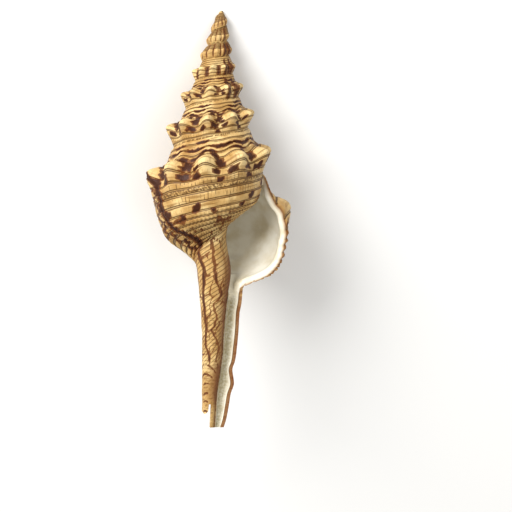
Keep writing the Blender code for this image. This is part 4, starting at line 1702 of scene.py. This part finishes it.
    def build(self) -> bpy.types.Material:
        """Build the material.

        Returns:
            The material.
        """
        material = bpy.data.materials.new("aragonite_shell")
        material.use_nodes = True
        material.node_tree.nodes.clear()
        add = partial(add_node, material.node_tree)
        patterns = self.patterns(add)
        outer = self.coated(add, self.deep_tan, self.outer_coats, patterns)
        inner = self.coated(add, self.lining_shade, self.inner_coats, patterns)
        lining = add("MapRange", (patterns["lining"], *self.lining_edge))
        outside = add("Math", (1.0, lining), operation="SUBTRACT")
        height = self.height(add, patterns, outside)
        shader = add("BsdfPrincipled", {
            "Base Color": add("Mix", {0: lining, 6: outer, 7: inner}, 2, data_type="RGBA"),
            "Roughness": add("Mix", {0: lining, 2: self.roughness, 3: self.lining_roughness}),
            "Normal": add("Bump", {"Height": height, "Strength": self.bump_strength,
                                   "Distance": self.bump_height * MM}),
            "IOR": self.ior,
            "Specular IOR Level": self.gloss,
        })
        add("OutputMaterial", {"Surface": shader})
        return material


@dataclass
class Studio:
    """Pale floor, soft lights and a camera square to the shell's axis, on its mouth's side."""

    shell: Shell
    floor_size: float = 3.0
    floor_colour: str = "#F4F3F0"
    focal_length: float = 150.0
    sensor: float = 36.0
    picture_width: float = 153.6
    aim_x: float = 12.3
    aim_depth: float = 73.5
    light_depth: float = 60.0
    lights: tuple[tuple[str, tuple[float, float, float], float, float], ...] = (
        ("key", (-0.40, 0.28, 0.62), 0.45, 8.5),
        ("fill", (0.55, -0.20, 0.60), 0.60, 1.5),
    )
    sky: float = 0.55

    def axes(self) -> tuple[Vector, Vector, Vector]:
        """Directions to the shell's right, to its tip and out of its mouth."""
        turn = self.shell.turn.to_3x3()
        return turn @ Vector((1, 0, 0)), turn @ Vector((0, 1, 0)), turn @ Vector((0, 0, 1))

    def build_camera(self) -> None:
        """Set the camera square to the shell's axis, with the mouth in view."""
        right, up, out = self.axes()
        data = bpy.data.cameras.new("camera")
        data.lens = self.focal_length
        data.sensor_width = self.sensor
        data.clip_start = 0.01
        camera = bpy.data.objects.new("camera", data)
        bpy.context.collection.objects.link(camera)
        distance = self.focal_length * self.picture_width / self.sensor * MM
        place = self.shell.place(self.aim_x, 0.0, self.aim_depth) + out * distance
        camera.matrix_world = Matrix.Translation(place) @ Matrix((right, up, out)).transposed().to_4x4()
        bpy.context.scene.camera = camera

    def build_light(self, name: str, aside: tuple[float, float, float], size: float, power: float) -> None:
        """Add a soft light.

        Args:
            name: Name of the light.
            aside: Distances from the shell to its right, to its tip and out of its mouth.
            size: Side of the light.
            power: Power in watts.
        """
        data = bpy.data.lights.new(name, "AREA")
        data.size = size
        data.energy = power
        lamp = bpy.data.objects.new(name, data)
        bpy.context.collection.objects.link(lamp)
        centre = self.shell.place(0.0, 0.0, self.light_depth)
        place = centre + sum((axis * share for axis, share in zip(self.axes(), aside)), Vector())
        lamp.location = place
        lamp.rotation_euler = (place - centre).to_track_quat("Z", "Y").to_euler()

    def build_floor(self) -> None:
        """Add the plain pale floor."""
        bpy.ops.object.select_all(action="DESELECT")
        bpy.ops.mesh.primitive_plane_add(size=self.floor_size, location=(0, 0, 0))
        floor = bpy.context.object
        floor.name = "floor"
        material = bpy.data.materials.new("floor")
        material.use_nodes = True
        shader = material.node_tree.nodes["Principled BSDF"]
        shader.inputs["Base Color"].default_value = linear(self.floor_colour)
        shader.inputs["Roughness"].default_value = 0.9
        floor.data.materials.append(material)

    def build(self) -> None:
        """Build floor, lights, surroundings and camera."""
        self.build_floor()
        for name, aside, size, power in self.lights:
            self.build_light(name, aside, size, power)
        world = bpy.data.worlds.new("surroundings")
        world.use_nodes = True
        background = world.node_tree.nodes["Background"]
        background.inputs["Color"].default_value = (1.0, 1.0, 1.0, 1.0)
        background.inputs["Strength"].default_value = self.sky
        bpy.context.scene.world = world
        bpy.context.scene.view_settings.view_transform = "Standard"
        self.build_camera()


def main() -> None:
    """Build the shell, dress it, and set the studio round it."""
    logging.basicConfig(level=logging.INFO, format="%(message)s")
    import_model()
    bpy.ops.object.select_all(action="DESELECT")
    shell = Shell()
    piece = shell.build()
    piece.data.materials.append(ShellMatter().build())
    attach(piece, "root")
    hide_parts("shell")
    LOG.info("%s: %d faces", piece.name, len(piece.data.polygons))
    Studio(shell).build()


if __name__ == "__main__":
    main()
